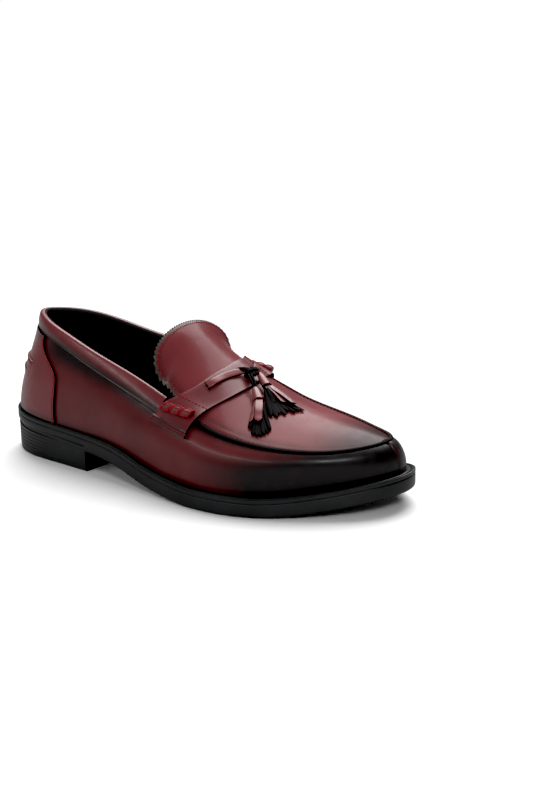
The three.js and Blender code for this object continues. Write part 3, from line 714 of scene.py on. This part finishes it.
def apron(x, y):
    x, y = np.broadcast_arrays(np.asarray(x, float), np.asarray(y, float))
    outer = y < swing(x)
    low = edge_of_top(x, outer)[..., 2] - 1.6
    high = np.maximum(COLLAR * crest_share(x / LENGTH), low)
    share = np.where(x / LENGTH < 0.55, crown_share(x / LENGTH), 1.0)
    return high - (high - low) * share * ((y - swing(x)) / np.maximum(half_top(x, outer), 1))**2


def apron_normal(x, y):
    e = 0.2
    return unit(np.stack([apron(x - e, y) - apron(x + e, y), apron(x, y - e) - apron(x, y + e),
                          np.full(np.broadcast(x, y).shape, 2 * e)], -1))


def on_apron(x, y, up=0.0):
    x, y = np.broadcast_arrays(np.asarray(x, float), np.asarray(y, float))
    return np.stack([x, y, apron(x, y)], -1) + apron_normal(x, y) * np.asarray(up, float)[..., None]


def plate_half(x, outer):
    """Half width of the plate: flared at the free end, tucked in under the strap."""
    flare = (OUTER_FLARE if outer else INNER_FLARE) * (1 - ease(x, 148, 159))
    tuck = TUCK * (1 - ease(x, 168, 182))
    full = half_top(np.maximum(x, TONGUE_WIDE), outer) + flare - 1.5 - tuck
    back = np.clip((TONGUE_WIDE - x) / (TONGUE_WIDE - TONGUE_BACK), 0, 1)
    return full * (1 - back**4) ** 0.25


TOOTH, TEETH, TOOTH_DEEP = 8, 25, 1.1


def plate_edge(outer):
    """Edge of the plate on one side, from the middle of the free end to the toe, with its teeth."""
    turn = np.linspace(0, np.pi / 2, 400)
    x = np.unique(np.concatenate([TONGUE_WIDE - (TONGUE_WIDE - TONGUE_BACK) * np.cos(turn),
                                  np.linspace(TONGUE_WIDE, 250, 600)[1:],
                                  TOP_FRONT - 2 - (TOP_FRONT - 252) * (1 - np.sin(turn))]))
    y = swing(x) + (-1 if outer else 1) * plate_half(x, outer)
    y[-1] = swing(x[-1])
    run = np.concatenate([[0], np.cumsum(np.hypot(np.diff(x), np.diff(y)))])
    pinked = np.interp(PINKED_TO, x, run)
    steps = np.concatenate([np.linspace(0, pinked, TEETH * TOOTH + 1),
                            np.linspace(pinked, run[-1], 150)[1:]])
    px, py = np.interp(steps, run, x), np.interp(steps, run, y)
    inward = unit(np.stack([-np.gradient(py), np.gradient(px)], -1)) * (1 if outer else -1)
    inward[0] = (1, 0)
    wave = np.abs(np.arange(len(steps)) % TOOTH - TOOTH / 2) / (TOOTH / 2)
    cut = np.where(steps < pinked - 1e-6, TOOTH_DEEP * (1 - wave), 0)
    return np.stack([px, py], -1) + inward * cut[:, None], np.stack([px, py], -1), inward


lateral_edge, lateral_line, lateral_inward = plate_edge(True)
medial_edge, medial_line, medial_inward = plate_edge(False)
middle_x = np.clip((lateral_line[:, 0] + medial_line[:, 0]) / 2, TONGUE_WIDE + 2, 280)
middle = np.stack([middle_x, swing(middle_x)], -1)


def plate_rows(from_edge, shares, lifts):
    """Plate's points on rows from edge to edge: first by millimetres, then by shares of the way in."""
    sides = []
    for edge in (lateral_edge, medial_edge):
        far = np.linalg.norm(middle - edge, axis=-1)[:, None]
        hem = np.minimum(from_edge[-1] / far, 0.5)
        walk = np.concatenate([np.minimum(from_edge / far, 0.5), hem + (1 - hem) * shares], 1)
        sides.append(edge[:, None] + (middle - edge)[:, None] * walk[..., None])
    flat = np.concatenate([sides[0], sides[1][:, ::-1][:, 1:]], 1)
    up = np.concatenate([lifts, lifts[::-1][1:]])
    return on_apron(flat[..., 0], flat[..., 1], np.broadcast_to(up, flat.shape[:2]))


hem_steps = np.array([0, 0.2, 0.8, 1.6, HEM - 0.35, HEM])
inner_steps = np.array([0.03, 0.07, 0.13, 0.2, 0.28, 0.37, 0.46, 0.55, 0.64, 0.73, 0.82, 0.91, 1.0])
hem_lifts = [-0.25, -0.03, 0.0, 0.0, 0.0, -0.05]
plate_top = plate_rows(hem_steps, inner_steps, np.array(hem_lifts + [0.0] * 13))
plate_low = plate_rows(hem_steps[:1], inner_steps[::3], np.full(6, -PLATE))
apron_leather = leather_look("apron_leather", (0.17, 0.033, 0.038), (0.21, 0.05, 0.054),
                             (0.012, 0.008, 0.008), 0.31, 0.7, 0.1)
# Rim band along the pinked teeth: burnished leather, with the grey of a sheen painted into its colour.
rim_leather_painted_sheen = leather_look("rim_leather_painted_sheen", (0.1, 0.055, 0.05), (0.14, 0.085, 0.078), (0.035, 0.022, 0.02),
                           0.4, 1.2)
plate_x = plate_top[..., 0]
plate_in = np.concatenate([[0] * 6, inner_steps, inner_steps[-2::-1], [0] * 6])
plate_mark = np.maximum(0.85 * ease(plate_x, 240, 284),
                        0.4 * (1 - ease(plate_in, 0, 0.16)) * np.ones_like(plate_x))
plate_marks = np.concatenate([plate_mark, np.zeros(plate_low.shape[:2])], 1)
plate_columns = np.array([1] + [0] * (plate_top.shape[1] - 3) + [1] + [2] * (plate_low.shape[1] + 1))
plate_columns = np.tile(plate_columns, (len(plate_top), 1))
far_hem = plate_top.shape[1] - 6
plate_columns[:TEETH * TOOTH, 1:5] = plate_columns[:TEETH * TOOTH, far_hem:far_hem + 4] = 3
piece("apron_tongue", closed(plate_top, plate_low),
      [apron_leather, pale_edge_and_painted_glint, black_lining, rim_leather_painted_sheen],
      columns=plate_columns, marks={"burnish_and_painted_shade": plate_marks}, capped=False, stands_for=["tongue"],
      slot="tongue_leather", sharp=45)

pinked_run = TEETH * TOOTH + 1
tongue_seam = np.concatenate([(lateral_line + lateral_inward * (HEM + 0.5))[1:pinked_run + 1][::-1],
                              (medial_line + medial_inward * (HEM + 0.5))[1:pinked_run + 1]])
stitches("tongue_stitches", [on_plate(tongue_seam, 0.12)], 2.0, 1.35, 0.62, red_thread, "tongue_leather")
ridge_foot = wall(ridge_a, 1.0, -3.15)[:, :2]
stitches("ridge_stitches", [on_plate(ridge_foot, 0.25)], 2.7, 1.9, 0.6, red_thread, "tongue_leather")
stitches("recess_stitches", [wall(ridge_a, 0.902, -RIDGE * 0.9)], 3.2, 1.0, 0.6, stained_thread,
         "upper_leather")
welt_lane = inset(loop, welt_ledge * 0.44)
welt_lane = np.column_stack([welt_lane, sole_top(welt_lane[:, 0]) - 0.72])
stitches("welt_stitches", [np.concatenate([welt_lane, welt_lane[:1]])], 3.0, 2.3, 0.7, dark_thread,
         "welt_rubber")

# Collar band: a padded strip of leather folded over the top line from strap to strap, turned
# under at its lower edge and stitched down, with black lining inside.
BAND, BAND_LOW, BAND_END = 8.5, 12.0, 158.0
band_front = round_top(BAND_END)
band_s = np.linspace(-band_front, band_front, 260)
band_deep = BAND + (BAND_LOW - BAND) * ease(np.abs(band_s), 0.2, band_front)
wall_high = (np.linalg.norm(wall_point(band_s, 1.0) - wall_point(band_s, 0.5), axis=-1)
             + np.linalg.norm(wall_point(band_s, 0.5) - wall_point(band_s, 0.0), axis=-1))
band_low = 1 - band_deep / wall_high
band_tip = unit(wall(band_s, 1.0) - wall(band_s, 0.97))
band_face = [(0, 0.35), (0.0, 0.8), (0.02, 1.2), (0.05, 1.38), (0.09, 1.3), (0.13, 1.22), (0.2, 1.36),
             (0.35, 1.62), (0.5, 1.78), (0.65, 1.8), (0.8, 1.7), (0.92, 1.55)]
band_over = [(1.4, 0.1), (1.15, 0.75), (0.55, 1.3), (-0.5, 1.55), (-1.5, 1.5), (-2.4, 1.15),
             (-3.0, 0.5), (-3.2, -0.1)]
band_inside = [(0.97, -3.3), (0.95, -3.2), (0.95, -2.4), (0.97, -2.35)]
band_back = [(-2.35, 0.2), (-1.6, 0.35), (-0.2, 0.35), (0.35, 0.1)]
band_path = [(band_low + (1 - band_low) * share, out, 0) for share, out in band_face]
band_path += [(1.0, out, up) for out, up in band_over] + [(t, out, 0) for t, out in band_inside]
band_path += [(1.0, out, up) for out, up in band_back]
band_grid = np.stack([wall(band_s, t, out) + band_tip * up for t, out, up in band_path], 1)
# Painted shade: the lower half of the padded band's face is darkened, its top left light.
band_painted_shade = np.zeros(band_grid.shape[:2])
band_painted_shade[:, :len(band_face)] = [0.92 * (1 - ease(share, 0.16, 0.7)) for share, out in band_face]
band_leather = leather_look("band_leather", (0.15, 0.026, 0.03), (0.18, 0.036, 0.04),
                            (0.016, 0.012, 0.011), 0.33, shine=0.45)
band_columns = [2, 2, 2, 1] + [0] * 12 + [3] * (len(band_path) - 16)
piece("collar_band_pad", band_grid, [band_leather, pale_edge_and_painted_glint, black_edge, black_lining],
      columns=band_columns, marks={"burnish_and_painted_shade": band_painted_shade},
      stands_for=["collar_band"], slot="band_leather", sharp=60)

# Counter: a second layer of leather round the heel. Its S-shaped front edge is cut raw and
# black, with a bright red stitch row beside it.
counter_front = spline([0, 0.3, 0.45, 0.58, 0.7, 0.78, 0.85],
                       [0.192, 0.186, 0.178, 0.157, 0.108, 0.084, 0.08])
counter_top = 1 - (BAND + 1.5) / wall_high[len(band_s) // 2]
counter_t = np.linspace(0.02, counter_top, 70)
counter_reach = station(counter_front(counter_t))
counter_walk = np.concatenate([[1.0, 0.994, 0.985], np.linspace(0.96, -0.96, 90),
                               [-0.985, -0.994, -1.0]])
counter_a = counter_reach[:, None] * counter_walk
counter_lift = np.concatenate([[1.35, 1.65, 1.72], np.full(90, 1.7), [1.72, 1.65, 1.35]])
counter_grid = closed(wall(counter_a, counter_t[:, None], counter_lift),
                      wall(counter_a[:, ::6], counter_t[:, None], 0.45))
counter_leather = leather_look("counter_leather", (0.16, 0.03, 0.034), (0.2, 0.044, 0.049),
                               (0.012, 0.008, 0.008), 0.33)
n_low = counter_a[:, ::6].shape[1]
counter_columns = [1] + [0] * 93 + [1] + [1] * (n_low + 1)
# Darker just above the welt, and painted shade along the top under the collar band.
counter_welt_dark_and_band_shade = np.maximum(0.6 * (1 - ease(counter_t, 0.02, 0.1)),
                         0.55 * ease(counter_t, counter_top - 0.12, counter_top))
counter_marks = np.broadcast_to(counter_welt_dark_and_band_shade[:, None], counter_grid.shape[:2])
piece("heel_counter", counter_grid, [counter_leather, black_edge], columns=counter_columns,
      marks={"burnish_and_painted_shade": counter_marks}, stands_for=["counter"], slot="counter_leather", sharp=45)

seam_a = (counter_reach - 0.0055)[::-1]
stitches("counter_stitches", [wall(side, counter_t[::-1], 1.8) for side in (seam_a, -seam_a)],
         1.5, 1.4, 0.62, red_thread, "counter_leather")

# Heel ridges: two short folds of leather sewn over the back seam, one above the other, with
# red stitches under each. A soft swelling of the padding lies behind them.
tab_reach = station(0.07)
tab_t = np.linspace(0.335, 0.565, 24)[:, None]
tab_s = np.linspace(-tab_reach, tab_reach, 60)
swell = (1 - ((tab_t - 0.45) / 0.116)**2) * (1 - (tab_s / tab_reach)**2)
tab = closed(wall(tab_s, tab_t, 1.62 + 0.75 * np.sqrt(np.clip(swell, 0, 1))),
             wall(tab_s, tab_t, np.full((24, 60), 1.2)))
tab_meshes = [solid_mesh(tab, [counter_leather, black_edge], sharp=60)]
seams = []
for level, reach_share in ((0.53, 1.0), (0.42, 0.8)):
    fold_s = np.linspace(-1, 1, 70)
    slim = np.clip(np.sqrt(1 - fold_s**2) * 3.2, 0.12, 1)
    angle = np.linspace(0, 2 * np.pi, 14, endpoint=False)
    fold = wall(fold_s[:, None] * tab_reach * reach_share, level + 0.013 * slim[:, None] * np.cos(angle),
                1.95 + 1.15 * slim[:, None] * np.sin(angle))
    tab_meshes.append(solid_mesh(fold, [counter_leather, black_edge], sharp=60, marks={"burnish_and_painted_shade": 0.25}))
    seams.append(wall(fold_s * tab_reach * reach_share * 0.97, level - 0.022, 2.35))
place("heel_ridges", tab_meshes, "counter_leather", ["heel_tab"])
stitches("heel_ridge_stitches", seams, 1.9, 1.5, 0.6, red_thread, "counter_leather")

# Toe strip: the two walls meet under a narrow strip down the front of the toe, sewn at both
# edges with dark thread in a sunk groove.
strip_t, strip_walk = np.linspace(0.02, 0.895, 50)[:, None], np.linspace(-1, 1, 17)
strip_half = 0.0165
strip_lift = np.interp(np.abs(strip_walk), [0, 0.55, 0.72, 0.76, 0.9, 1],
                       [1.0, 0.95, 0.75, 0.12, 0.12, -0.2]) - RIDGE
strip_grid = closed(wall(1 + strip_half * strip_walk, strip_t, np.broadcast_to(strip_lift, (50, 17))),
                    wall(1 + strip_half * strip_walk[::2], strip_t, -0.6 - RIDGE))
# The strip's black cut edges are widened over the groove floors, so they also paint shade in the sunk
# grooves.
strip_columns = [1, 1] + [0] * 12 + [1] * (2 + 9 + 1)
piece("toe_strip_leather", strip_grid, [upper_leather, black_edge], columns=strip_columns,
      marks={"burnish_and_painted_shade": 0.86}, stands_for=["toe_strip"], slot="upper_leather", sharp=60)
toe_seams = [wall(1 + side * strip_half * 1.12, strip_t[2:-1, 0], -RIDGE * 0.93) for side in (-1, 1)]
stitches("toe_stitches", toe_seams, 2.4, 1.7, 0.6, stained_thread, "upper_leather")

# Saddle strap: one band of leather over the instep, turned down both walls and caught in the
# seams. Its front edge is raw and black, its rear edge is skived soft.
STRAP_THICK, STRAP_RISE = 1.3, 0.55
strap_at = [0, 0.25, 0.5, 0.7, 0.85, 1]
strap_rear = spline(strap_at, [178, 176, 170.5, 162.5, 157.5, 156])
strap_front = spline(strap_at, [197, 195, 190, 186.5, 185, 184])


def curve_through(points, count):
    """Evenly spaced points on a smooth curve through the given ones."""
    points = np.asarray(points, float)
    run = np.concatenate([[0], np.cumsum(np.linalg.norm(np.diff(points, axis=0), axis=-1))])
    fine = np.linspace(0, run[-1], 600)
    dense = np.stack([spline(run, points[:, k])(fine) for k in range(3)], -1)
    length = np.concatenate([[0], np.cumsum(np.linalg.norm(np.diff(dense, axis=0), axis=-1))])
    even = np.linspace(0, length[-1], count)
    return np.stack([np.interp(even, length, dense[:, k]) for k in range(3)], -1)


strap_x = np.arange(154.0, 199.1, 1.0)
down = np.array([0.63, 0.74, 0.85, 0.95, 1])
strap_base_lift = 0.5 + 1.7 * (1 - ease(strap_x, 159, 166))
strap_u = round_top(strap_x)
outer_leg, inner_leg = (wall(a[:, None], down, strap_base_lift[:, None] + 0.5 * ease(down, 0.85, 1))
                        for a in (strap_u, 2 - strap_u))
saddle_lift = np.full(len(strap_x), STRAP_RISE)
saddle = np.stack([on_apron(strap_x, swing(strap_x) + k * half_top(strap_x, k < 0), saddle_lift)
                   for k in (-0.8, -0.45, 0, 0.45, 0.8)], 1)
strap_lines = np.concatenate([outer_leg, saddle, inner_leg[:, ::-1]], 1)
strap_table = np.stack([curve_through(line, 401) for line in strap_lines])


def strap_base(s, r):
    s, r = np.broadcast_arrays(np.asarray(s, float), np.asarray(r, float))
    k = np.abs(s)
    x = strap_rear(k) + (strap_front(k) - strap_rear(k)) * r
    i, j = np.clip(x - strap_x[0], 0, len(strap_x) - 1.001), np.clip((s + 1) * 200, 0, 399.999)
    i0, j0 = i.astype(int), j.astype(int)
    p, q = (i - i0)[..., None], (j - j0)[..., None]
    return ((strap_table[i0, j0] * (1 - q) + strap_table[i0, j0 + 1] * q) * (1 - p)
            + (strap_table[i0 + 1, j0] * (1 - q) + strap_table[i0 + 1, j0 + 1] * q) * p)


def strap_normal(s, r):
    s0, r0 = np.clip(s, -0.98, 0.98), np.clip(r, 0.1, 0.9)
    ds = strap_base(s0 + 0.02, r0) - strap_base(s0 - 0.02, r0)
    return unit(np.cross(strap_base(s0, r0 + 0.1) - strap_base(s0, r0 - 0.1), ds))


def on_strap(s, r, up=0.0):
    s, r, up = np.broadcast_arrays(np.asarray(s, float), np.asarray(r, float), np.asarray(up, float))
    return strap_base(s, r) + strap_normal(s, r) * up[..., None]


strap_s = np.linspace(-1, 1, 220)[:, None]
strap_r = np.concatenate([[0, 0.01, 0.03, 0.07], np.linspace(0.12, 0.93, 30), [0.96, 0.98, 0.992, 1.0]])
strap_lift = np.interp(strap_r, [0, 0.01, 0.03, 0.07, 0.15, 0.9, 0.98, 0.992, 1],
                       [0.35, 0.75, 1.05, 1.2, 1.3, 1.3, 1.38, 1.32, 1.05])
strap_grid = closed(on_strap(strap_s, strap_r, strap_lift), on_strap(strap_s, strap_r[::4], 0.0))
strap_leather = leather_look("strap_leather", (0.135, 0.025, 0.029), (0.17, 0.038, 0.043),
                             (0.014, 0.009, 0.009), 0.33, 0.8, 0.26)
strap_columns = [0] * (len(strap_r) - 3) + [1] * (2 + len(strap_r[::4]) + 1)
piece("saddle_strap", strap_grid, [strap_leather, black_edge], columns=strap_columns,
      marks={"burnish_and_painted_shade": np.broadcast_to(0.45 * ease(np.abs(strap_s), 0.84, 0.98), strap_grid.shape[:2])},
      stands_for=["strap"], slot="strap_leather", sharp=50)

# Strap feet: at both ends of the strap a narrow folded welt is sewn down with one red row
# between two pale raised edges.
foot_r = np.linspace(0.01, 0.995, 40)
foot_rows = [(0.924, 1.1), (0.925, 1.62), (0.932, 1.98), (0.937, 2.02), (0.948, 1.75),
             (0.96, 1.55), (0.972, 1.6), (0.984, 1.88), (0.989, 1.92), (0.9975, 1.7),
             (0.9985, 0.6), (0.995, 0.25), (0.96, 0.4), (0.93, 0.6)]
foot_columns = [2, 0, 1, 0, 0, 0, 0, 1, 0, 2, 2, 2, 2, 2]
feet, foot_seams = [], []
for side in (-1, 1):
    feet.append(solid_mesh(np.stack([on_strap(side * k, foot_r, lift) for k, lift in foot_rows], 1),
                           [strap_leather, pale_edge_and_painted_glint, black_edge], columns=foot_columns,
                           marks={"burnish_and_painted_shade": 0.6}, sharp=50))
    foot_seams.append(on_strap(side * 0.962, foot_r, 1.66))
place("strap_feet", feet, "strap_leather")
stitches("strap_foot_stitches", foot_seams, 2.1, 1.5, 0.55, red_thread, "strap_leather")

# Gathered rolls: on each side of the strap three puffs of rolled leather in a row, bound with
# bright red thread between them and along both edges, under a separate red row.
rope_tree, given, result = node_tree("thread_loop", Radius="Float", Thread="Material")
loops = node(rope_tree, "MeshToCurve", (given["Geometry"], "Mesh"))
yarn = node(rope_tree, "CurvePrimitiveCircle", (6, "Resolution"), (given["Radius"], "Radius"),
            mode="RADIUS")
end_tree(rope_tree, node(rope_tree, "CurveToMesh", (loops, "Curve"), (yarn, "Profile Curve"),
                         (True, "Fill Caps")), given, result)
ROLL = 2.7
around = np.linspace(0, 2 * np.pi, 24, endpoint=False)


def roll_ring(q, side, extra=0.0):
    """Section of the rolls at a share q of their length, front to back."""
    q = np.asarray(q, float)
    r, s_at = 0.09 + 0.79 * q, side * (0.81 - 0.06 * q)
    puff = 0.62 + 0.38 * np.abs(np.sin(3 * np.pi * q))**0.6
    ends = np.clip(np.sqrt(np.clip(q * (1 - q), 0, 1) * 45), 0.4, 1)
    size = ROLL * puff * ends + extra
    out = strap_normal(s_at, r)
    over = unit(on_strap(s_at + 0.02 * side, r) - on_strap(s_at - 0.02 * side, r))
    middle = on_strap(s_at, r, STRAP_THICK + ROLL * 0.62)
    wide, high = np.cos(around) * size[..., None] * 1.3, np.sin(around) * size[..., None] * 0.92
    return (middle[..., None, :] + over[..., None, :] * wide[..., None]
            + out[..., None, :] * high[..., None])


roll_q = np.linspace(0, 1, 100)
wraps, edges_bound, rows_above = [], [], []
for side, name in ((-1, "lateral"), (1, "medial")):
    # The rolls darken between the puffs: painted shade in the bound creases.
    piece("gathered_rolls_" + name, roll_ring(roll_q, side), [strap_leather], sharp=70,
          marks={"burnish_and_painted_shade": (0.55 * (1 - np.abs(np.sin(3 * np.pi * roll_q))))[:, None]},
          stands_for=["rolls_" + name], slot="strap_leather")
    for q in (0.035, 0.3, 0.365, 0.635, 0.7, 0.965):
        wraps.append(roll_ring(q, side, 0.22))
    for q0, q1 in ((0.04, 0.3), (0.365, 0.635), (0.7, 0.96)):
        for spot in (2, 9):
            edges_bound.append(roll_ring(np.linspace(q0, q1, 14), side, 0.2)[:, spot])
    rows_above.append(on_strap(side * np.linspace(0.623, 0.587, 30), np.linspace(0.04, 0.95, 30),
                               STRAP_THICK + 0.15))
run_tree("roll_wraps", rope_tree, wraps, True, "strap_leather", Radius=0.42 * MM, Thread=red_thread)
run_tree("roll_edge_threads", rope_tree, edges_bound, False, "strap_leather", Radius=0.38 * MM,
         Thread=red_thread)
stitches("strap_row_stitches", rows_above, 2.5, 2.0, 0.75, red_thread, "strap_leather")

# Thong and knot: a flat lace of the same leather, black on its back and edges. It comes out of
# two slots, crosses the strap and is tied over its middle in a tight black knot.
THONG, ON_STRAP = 5.2, STRAP_RISE + STRAP_THICK + 0.5
leaf_leather = leather_look("leaf_leather", (0.19, 0.045, 0.05), (0.26, 0.075, 0.08),
                            (0.01, 0.007, 0.007), 0.32, 0.7, 0.45)
LEAF = [(-1, 0.2), (-1, 0.75), (-0.88, 1.0), (-0.45, 1.0), (0, 1.0), (0.45, 1.0), (0.88, 1.0),
        (1, 0.75), (1, 0.2), (0.88, 0), (0, 0), (-0.88, 0)]
LEAF_COLUMNS = [1, 1, 0, 0, 0, 0, 1, 1, 1, 1, 1, 1]


def leaf(places, widths, thick, curl=0.0, roll=0.0, steps=26, pointed=0.0, dark_from=2.0):
    """Flat strip of leather along places [x, y, lift], with a look for every face."""
    spots = np.array(places, float)
    path = curve_through(on_apron(spots[:, 0], spots[:, 1], spots[:, 2]), steps)
    up, ahead = apron_normal(path[:, 0], path[:, 1]), unit(np.gradient(path, axis=0))
    out = unit(np.cross(ahead, up))
    up = unit(np.cross(out, ahead))
    q = np.linspace(0, 1, steps)
    turn = np.interp(q, [0, 1], roll) if np.ndim(roll) else np.full(steps, roll)
    out, up = (out * np.cos(turn)[:, None] + up * np.sin(turn)[:, None],
               up * np.cos(turn)[:, None] - out * np.sin(turn)[:, None])
    half = np.interp(q, np.linspace(0, 1, len(widths)), widths) / 2
    if pointed:
        half = half * np.sqrt(np.clip((1 - q) / pointed, 0.02, 1))
    across_at, height = np.array(LEAF).T
    grid = (path[:, None] + out[:, None] * (across_at * half[:, None])[..., None]
            + up[:, None] * (height * thick + curl * half[:, None] * (1 - across_at**2))[..., None])
    colors = np.where((q > dark_from)[:, None], 1, np.array(LEAF_COLUMNS))
    return solid_mesh(grid, [leaf_leather, black_edge], columns=colors, sharp=60)


def cord(places, radii, steps=24, sides=14, flat=1.0):
    """Sections of a round or flattened cord along places [x, y, lift]."""
    spots = np.array(places, float)
    path = curve_through(on_apron(spots[:, 0], spots[:, 1], spots[:, 2]), steps)
    up, ahead = apron_normal(path[:, 0], path[:, 1]), unit(np.gradient(path, axis=0))
    out = unit(np.cross(ahead, up))
    size = np.interp(np.linspace(0, 1, steps), np.linspace(0, 1, len(radii)), radii)[:, None, None]
    turn = np.linspace(0, 2 * np.pi, sides, endpoint=False)[None, :, None]
    return path[:, None] + (out[:, None] * np.cos(turn) + up[:, None] * np.sin(turn) * flat) * size


thong = [leaf([[179.0, -21.6, 1.1], [180.1, -19.4, ON_STRAP], [182.2, -11.5, ON_STRAP + 0.1],
               [184.2, -3.5, ON_STRAP + 0.5], [186.4, 4.2, ON_STRAP + 1.3]],
              [4.8, THONG, THONG, THONG, 4.4], 1.1, 0.03, (0.0, -0.2)),
         leaf([[188.4, 9, ON_STRAP + 1], [187.6, 15, ON_STRAP + 0.3], [184.4, 21, ON_STRAP],
               [181, 26, ON_STRAP], [179.6, 28.6, 1.2]],
              [3.4, THONG, THONG, THONG, 3.6], 1.2, 0.05)]
for x, y, lean in ((179.2, -21.4, 0.35), (180.2, 27.4, -0.35)):
    slot_edge = cord([[x - 3.4, y + 3.4 * lean, ON_STRAP - 0.15], [x, y, ON_STRAP + 0.1],
                      [x + 3.4, y - 3.4 * lean, ON_STRAP - 0.15]], [0.15, 0.75, 0.15], flat=0.5)
    thong.append(solid_mesh(slot_edge, [leaf_leather, black_edge], columns=1))
KNOT = np.array([188.6, 6.0, ON_STRAP])
for turns, radii, flat in (
        ([[-5.4, -4.6, 1.3], [-2.2, -1.4, 2.9], [1.5, 0.8, 2.9], [3.6, 1.8, 1.6]],
         [0.9, 1.8, 2.2, 1.5], 0.8),
        ([[-2, 5.4, 1.4], [0, 1.4, 3.5], [1, -2.4, 3.0], [1.6, -4.4, 1.4]], [1.1, 1.8, 1.9, 1.2], 0.8),
        ([[2.2, -3.2, 1.8], [3.2, 0, 2.9], [2.8, 4, 1.9]], [1.4, 1.7, 1.3], 0.75)):
    thong.append(solid_mesh(cord(KNOT + turns, radii, flat=flat), [leaf_leather, black_edge],
                            columns=1, sharp=70))
thong.append(leaf(KNOT + [[-1, 4, 2.6], [-1, 8, 1.9], [-1.5, 11.5, 1.2]], [3.2, 3.6, 3.0], 1.0, 0.1,
                  dark_from=-1))
place("thong_and_knot", thong, "tassel_leather", ["thong"])

# Tassels: each hangs from the knot on two thin black cords. A sleeve of leather is wrapped
# round the top of a fringe cut from one strip, oxblood in front, black behind and at the ends.


def tassel(name, start, cap, neck, end, spread, leaves, node_name):
    """Cords, sleeve and strips; a strip is (place across, length, width, lift, roll, black from)."""
    start, cap, neck, end = (np.array(v, float) for v in (start, cap, neck, end))
    run = end[:2] - neck[:2]
    side = np.array([-run[1], run[0]]) / np.linalg.norm(run)
    at = lambda q, off, up: [*(neck[:2] + run * q + side * off), up]
    meshes = []
    for off in (-0.9, 0.9):
        middle = (start + cap) / 2
        hung = cord([[start[0], start[1] + off, start[2]],
                     [middle[0], middle[1] + off * 1.3, start[2] + 0.5],
                     [cap[0], cap[1] + off * 0.7, cap[2]]], [0.95, 0.85, 0.95], sides=10)
        meshes.append(solid_mesh(hung, [leaf_leather, black_edge], columns=1))
    sleeve = cord([cap, (cap + neck) / 2, neck], [2.1, 2.7, 3.0, 3.2, 3.35], steps=20, sides=26,
                  flat=0.85)
    meshes.append(solid_mesh(sleeve, [leaf_leather, black_edge], sharp=50,
                             columns=np.where(np.arange(20) > 17, 1, 0)[:, None]))
    for k, long, wide, lift, roll, dark in leaves:
        fan = lambda q: k * (1.5 + (spread - 1.5) * q / long)
        meshes.append(leaf([at(-0.2, k * 1.4, neck[2] - 0.3 + lift * 0.3),
                            at(0.12, fan(0.12), neck[2] - 1.2 + lift * 0.6),
                            at(0.42 * long + 0.1, fan(0.42 * long + 0.1), end[2] + 0.9 + lift),
                            at(0.75 * long, fan(0.75 * long), end[2] + 0.35 + lift * 0.9),
                            at(long, fan(long), end[2] + 0.1 + lift * 0.7)],
                           [wide * 0.7, wide * 0.95, wide, wide], 0.8, 0.12, (0.0, roll),
                           pointed=0.06, dark_from=dark))
    return place(name, meshes, "tassel_leather", [node_name])


tassel("tassel_near", (190.6, 3.6, 5.6), (201.9, -3.2, 4.6), (210.5, -10.3, 4.2), (227, -32, 0.35), 6.2,
       [
    (-0.95, 0.76, 3.0, 0.4, -0.5, 0.55), (-0.62, 0.95, 3.2, 0.1, -0.2, 0.5),
    (-0.25, 1.0, 3.3, 0.3, 0.1, 0.25), (0.1, 1.0, 3.2, 0.1, -0.1, 0.25),
    (0.45, 0.97, 3.2, 0.5, 0.2, 0.15), (0.8, 0.92, 3.1, 0.2, 0.5, 0.1),
    (1.05, 0.84, 2.8, 0.6, 0.8, 0.0), (-0.8, 0.6, 3.2, 1.5, -0.6, 2),
    (-0.08, 0.62, 5.4, 3.2, 0.0, 2)], "tassel_left")
tassel("tassel_far", (191.4, 9.4, 5.4), (193.2, 12.0, 5.0), (204.6, 5.8, 4.4), (229, -4, 0.35), 11.5, [
    (-1.0, 0.93, 3.2, 0.2, -0.5, 0.1), (-0.74, 1.0, 3.3, 0.1, -0.2, 0.1),
    (-0.47, 0.92, 3.3, 0.4, 0.1, 0.1), (-0.2, 1.0, 3.3, 0.1, -0.1, 0.3),
    (0.1, 0.9, 3.3, 0.5, 0.2, 0.5), (0.4, 1.0, 3.3, 0.2, 0.3, 0.55),
    (0.7, 0.96, 3.3, 0.4, 0.2, 0.6), (1.0, 0.98, 3.2, 0.2, 0.5, 0.62),
    (-0.3, 0.55, 3.6, 1.8, -0.2, 0.35), (0.3, 0.62, 5.4, 2.4, 0.1, 2),
    (0.78, 0.74, 6.4, 2.9, 0.2, 2)], "tassel_right")
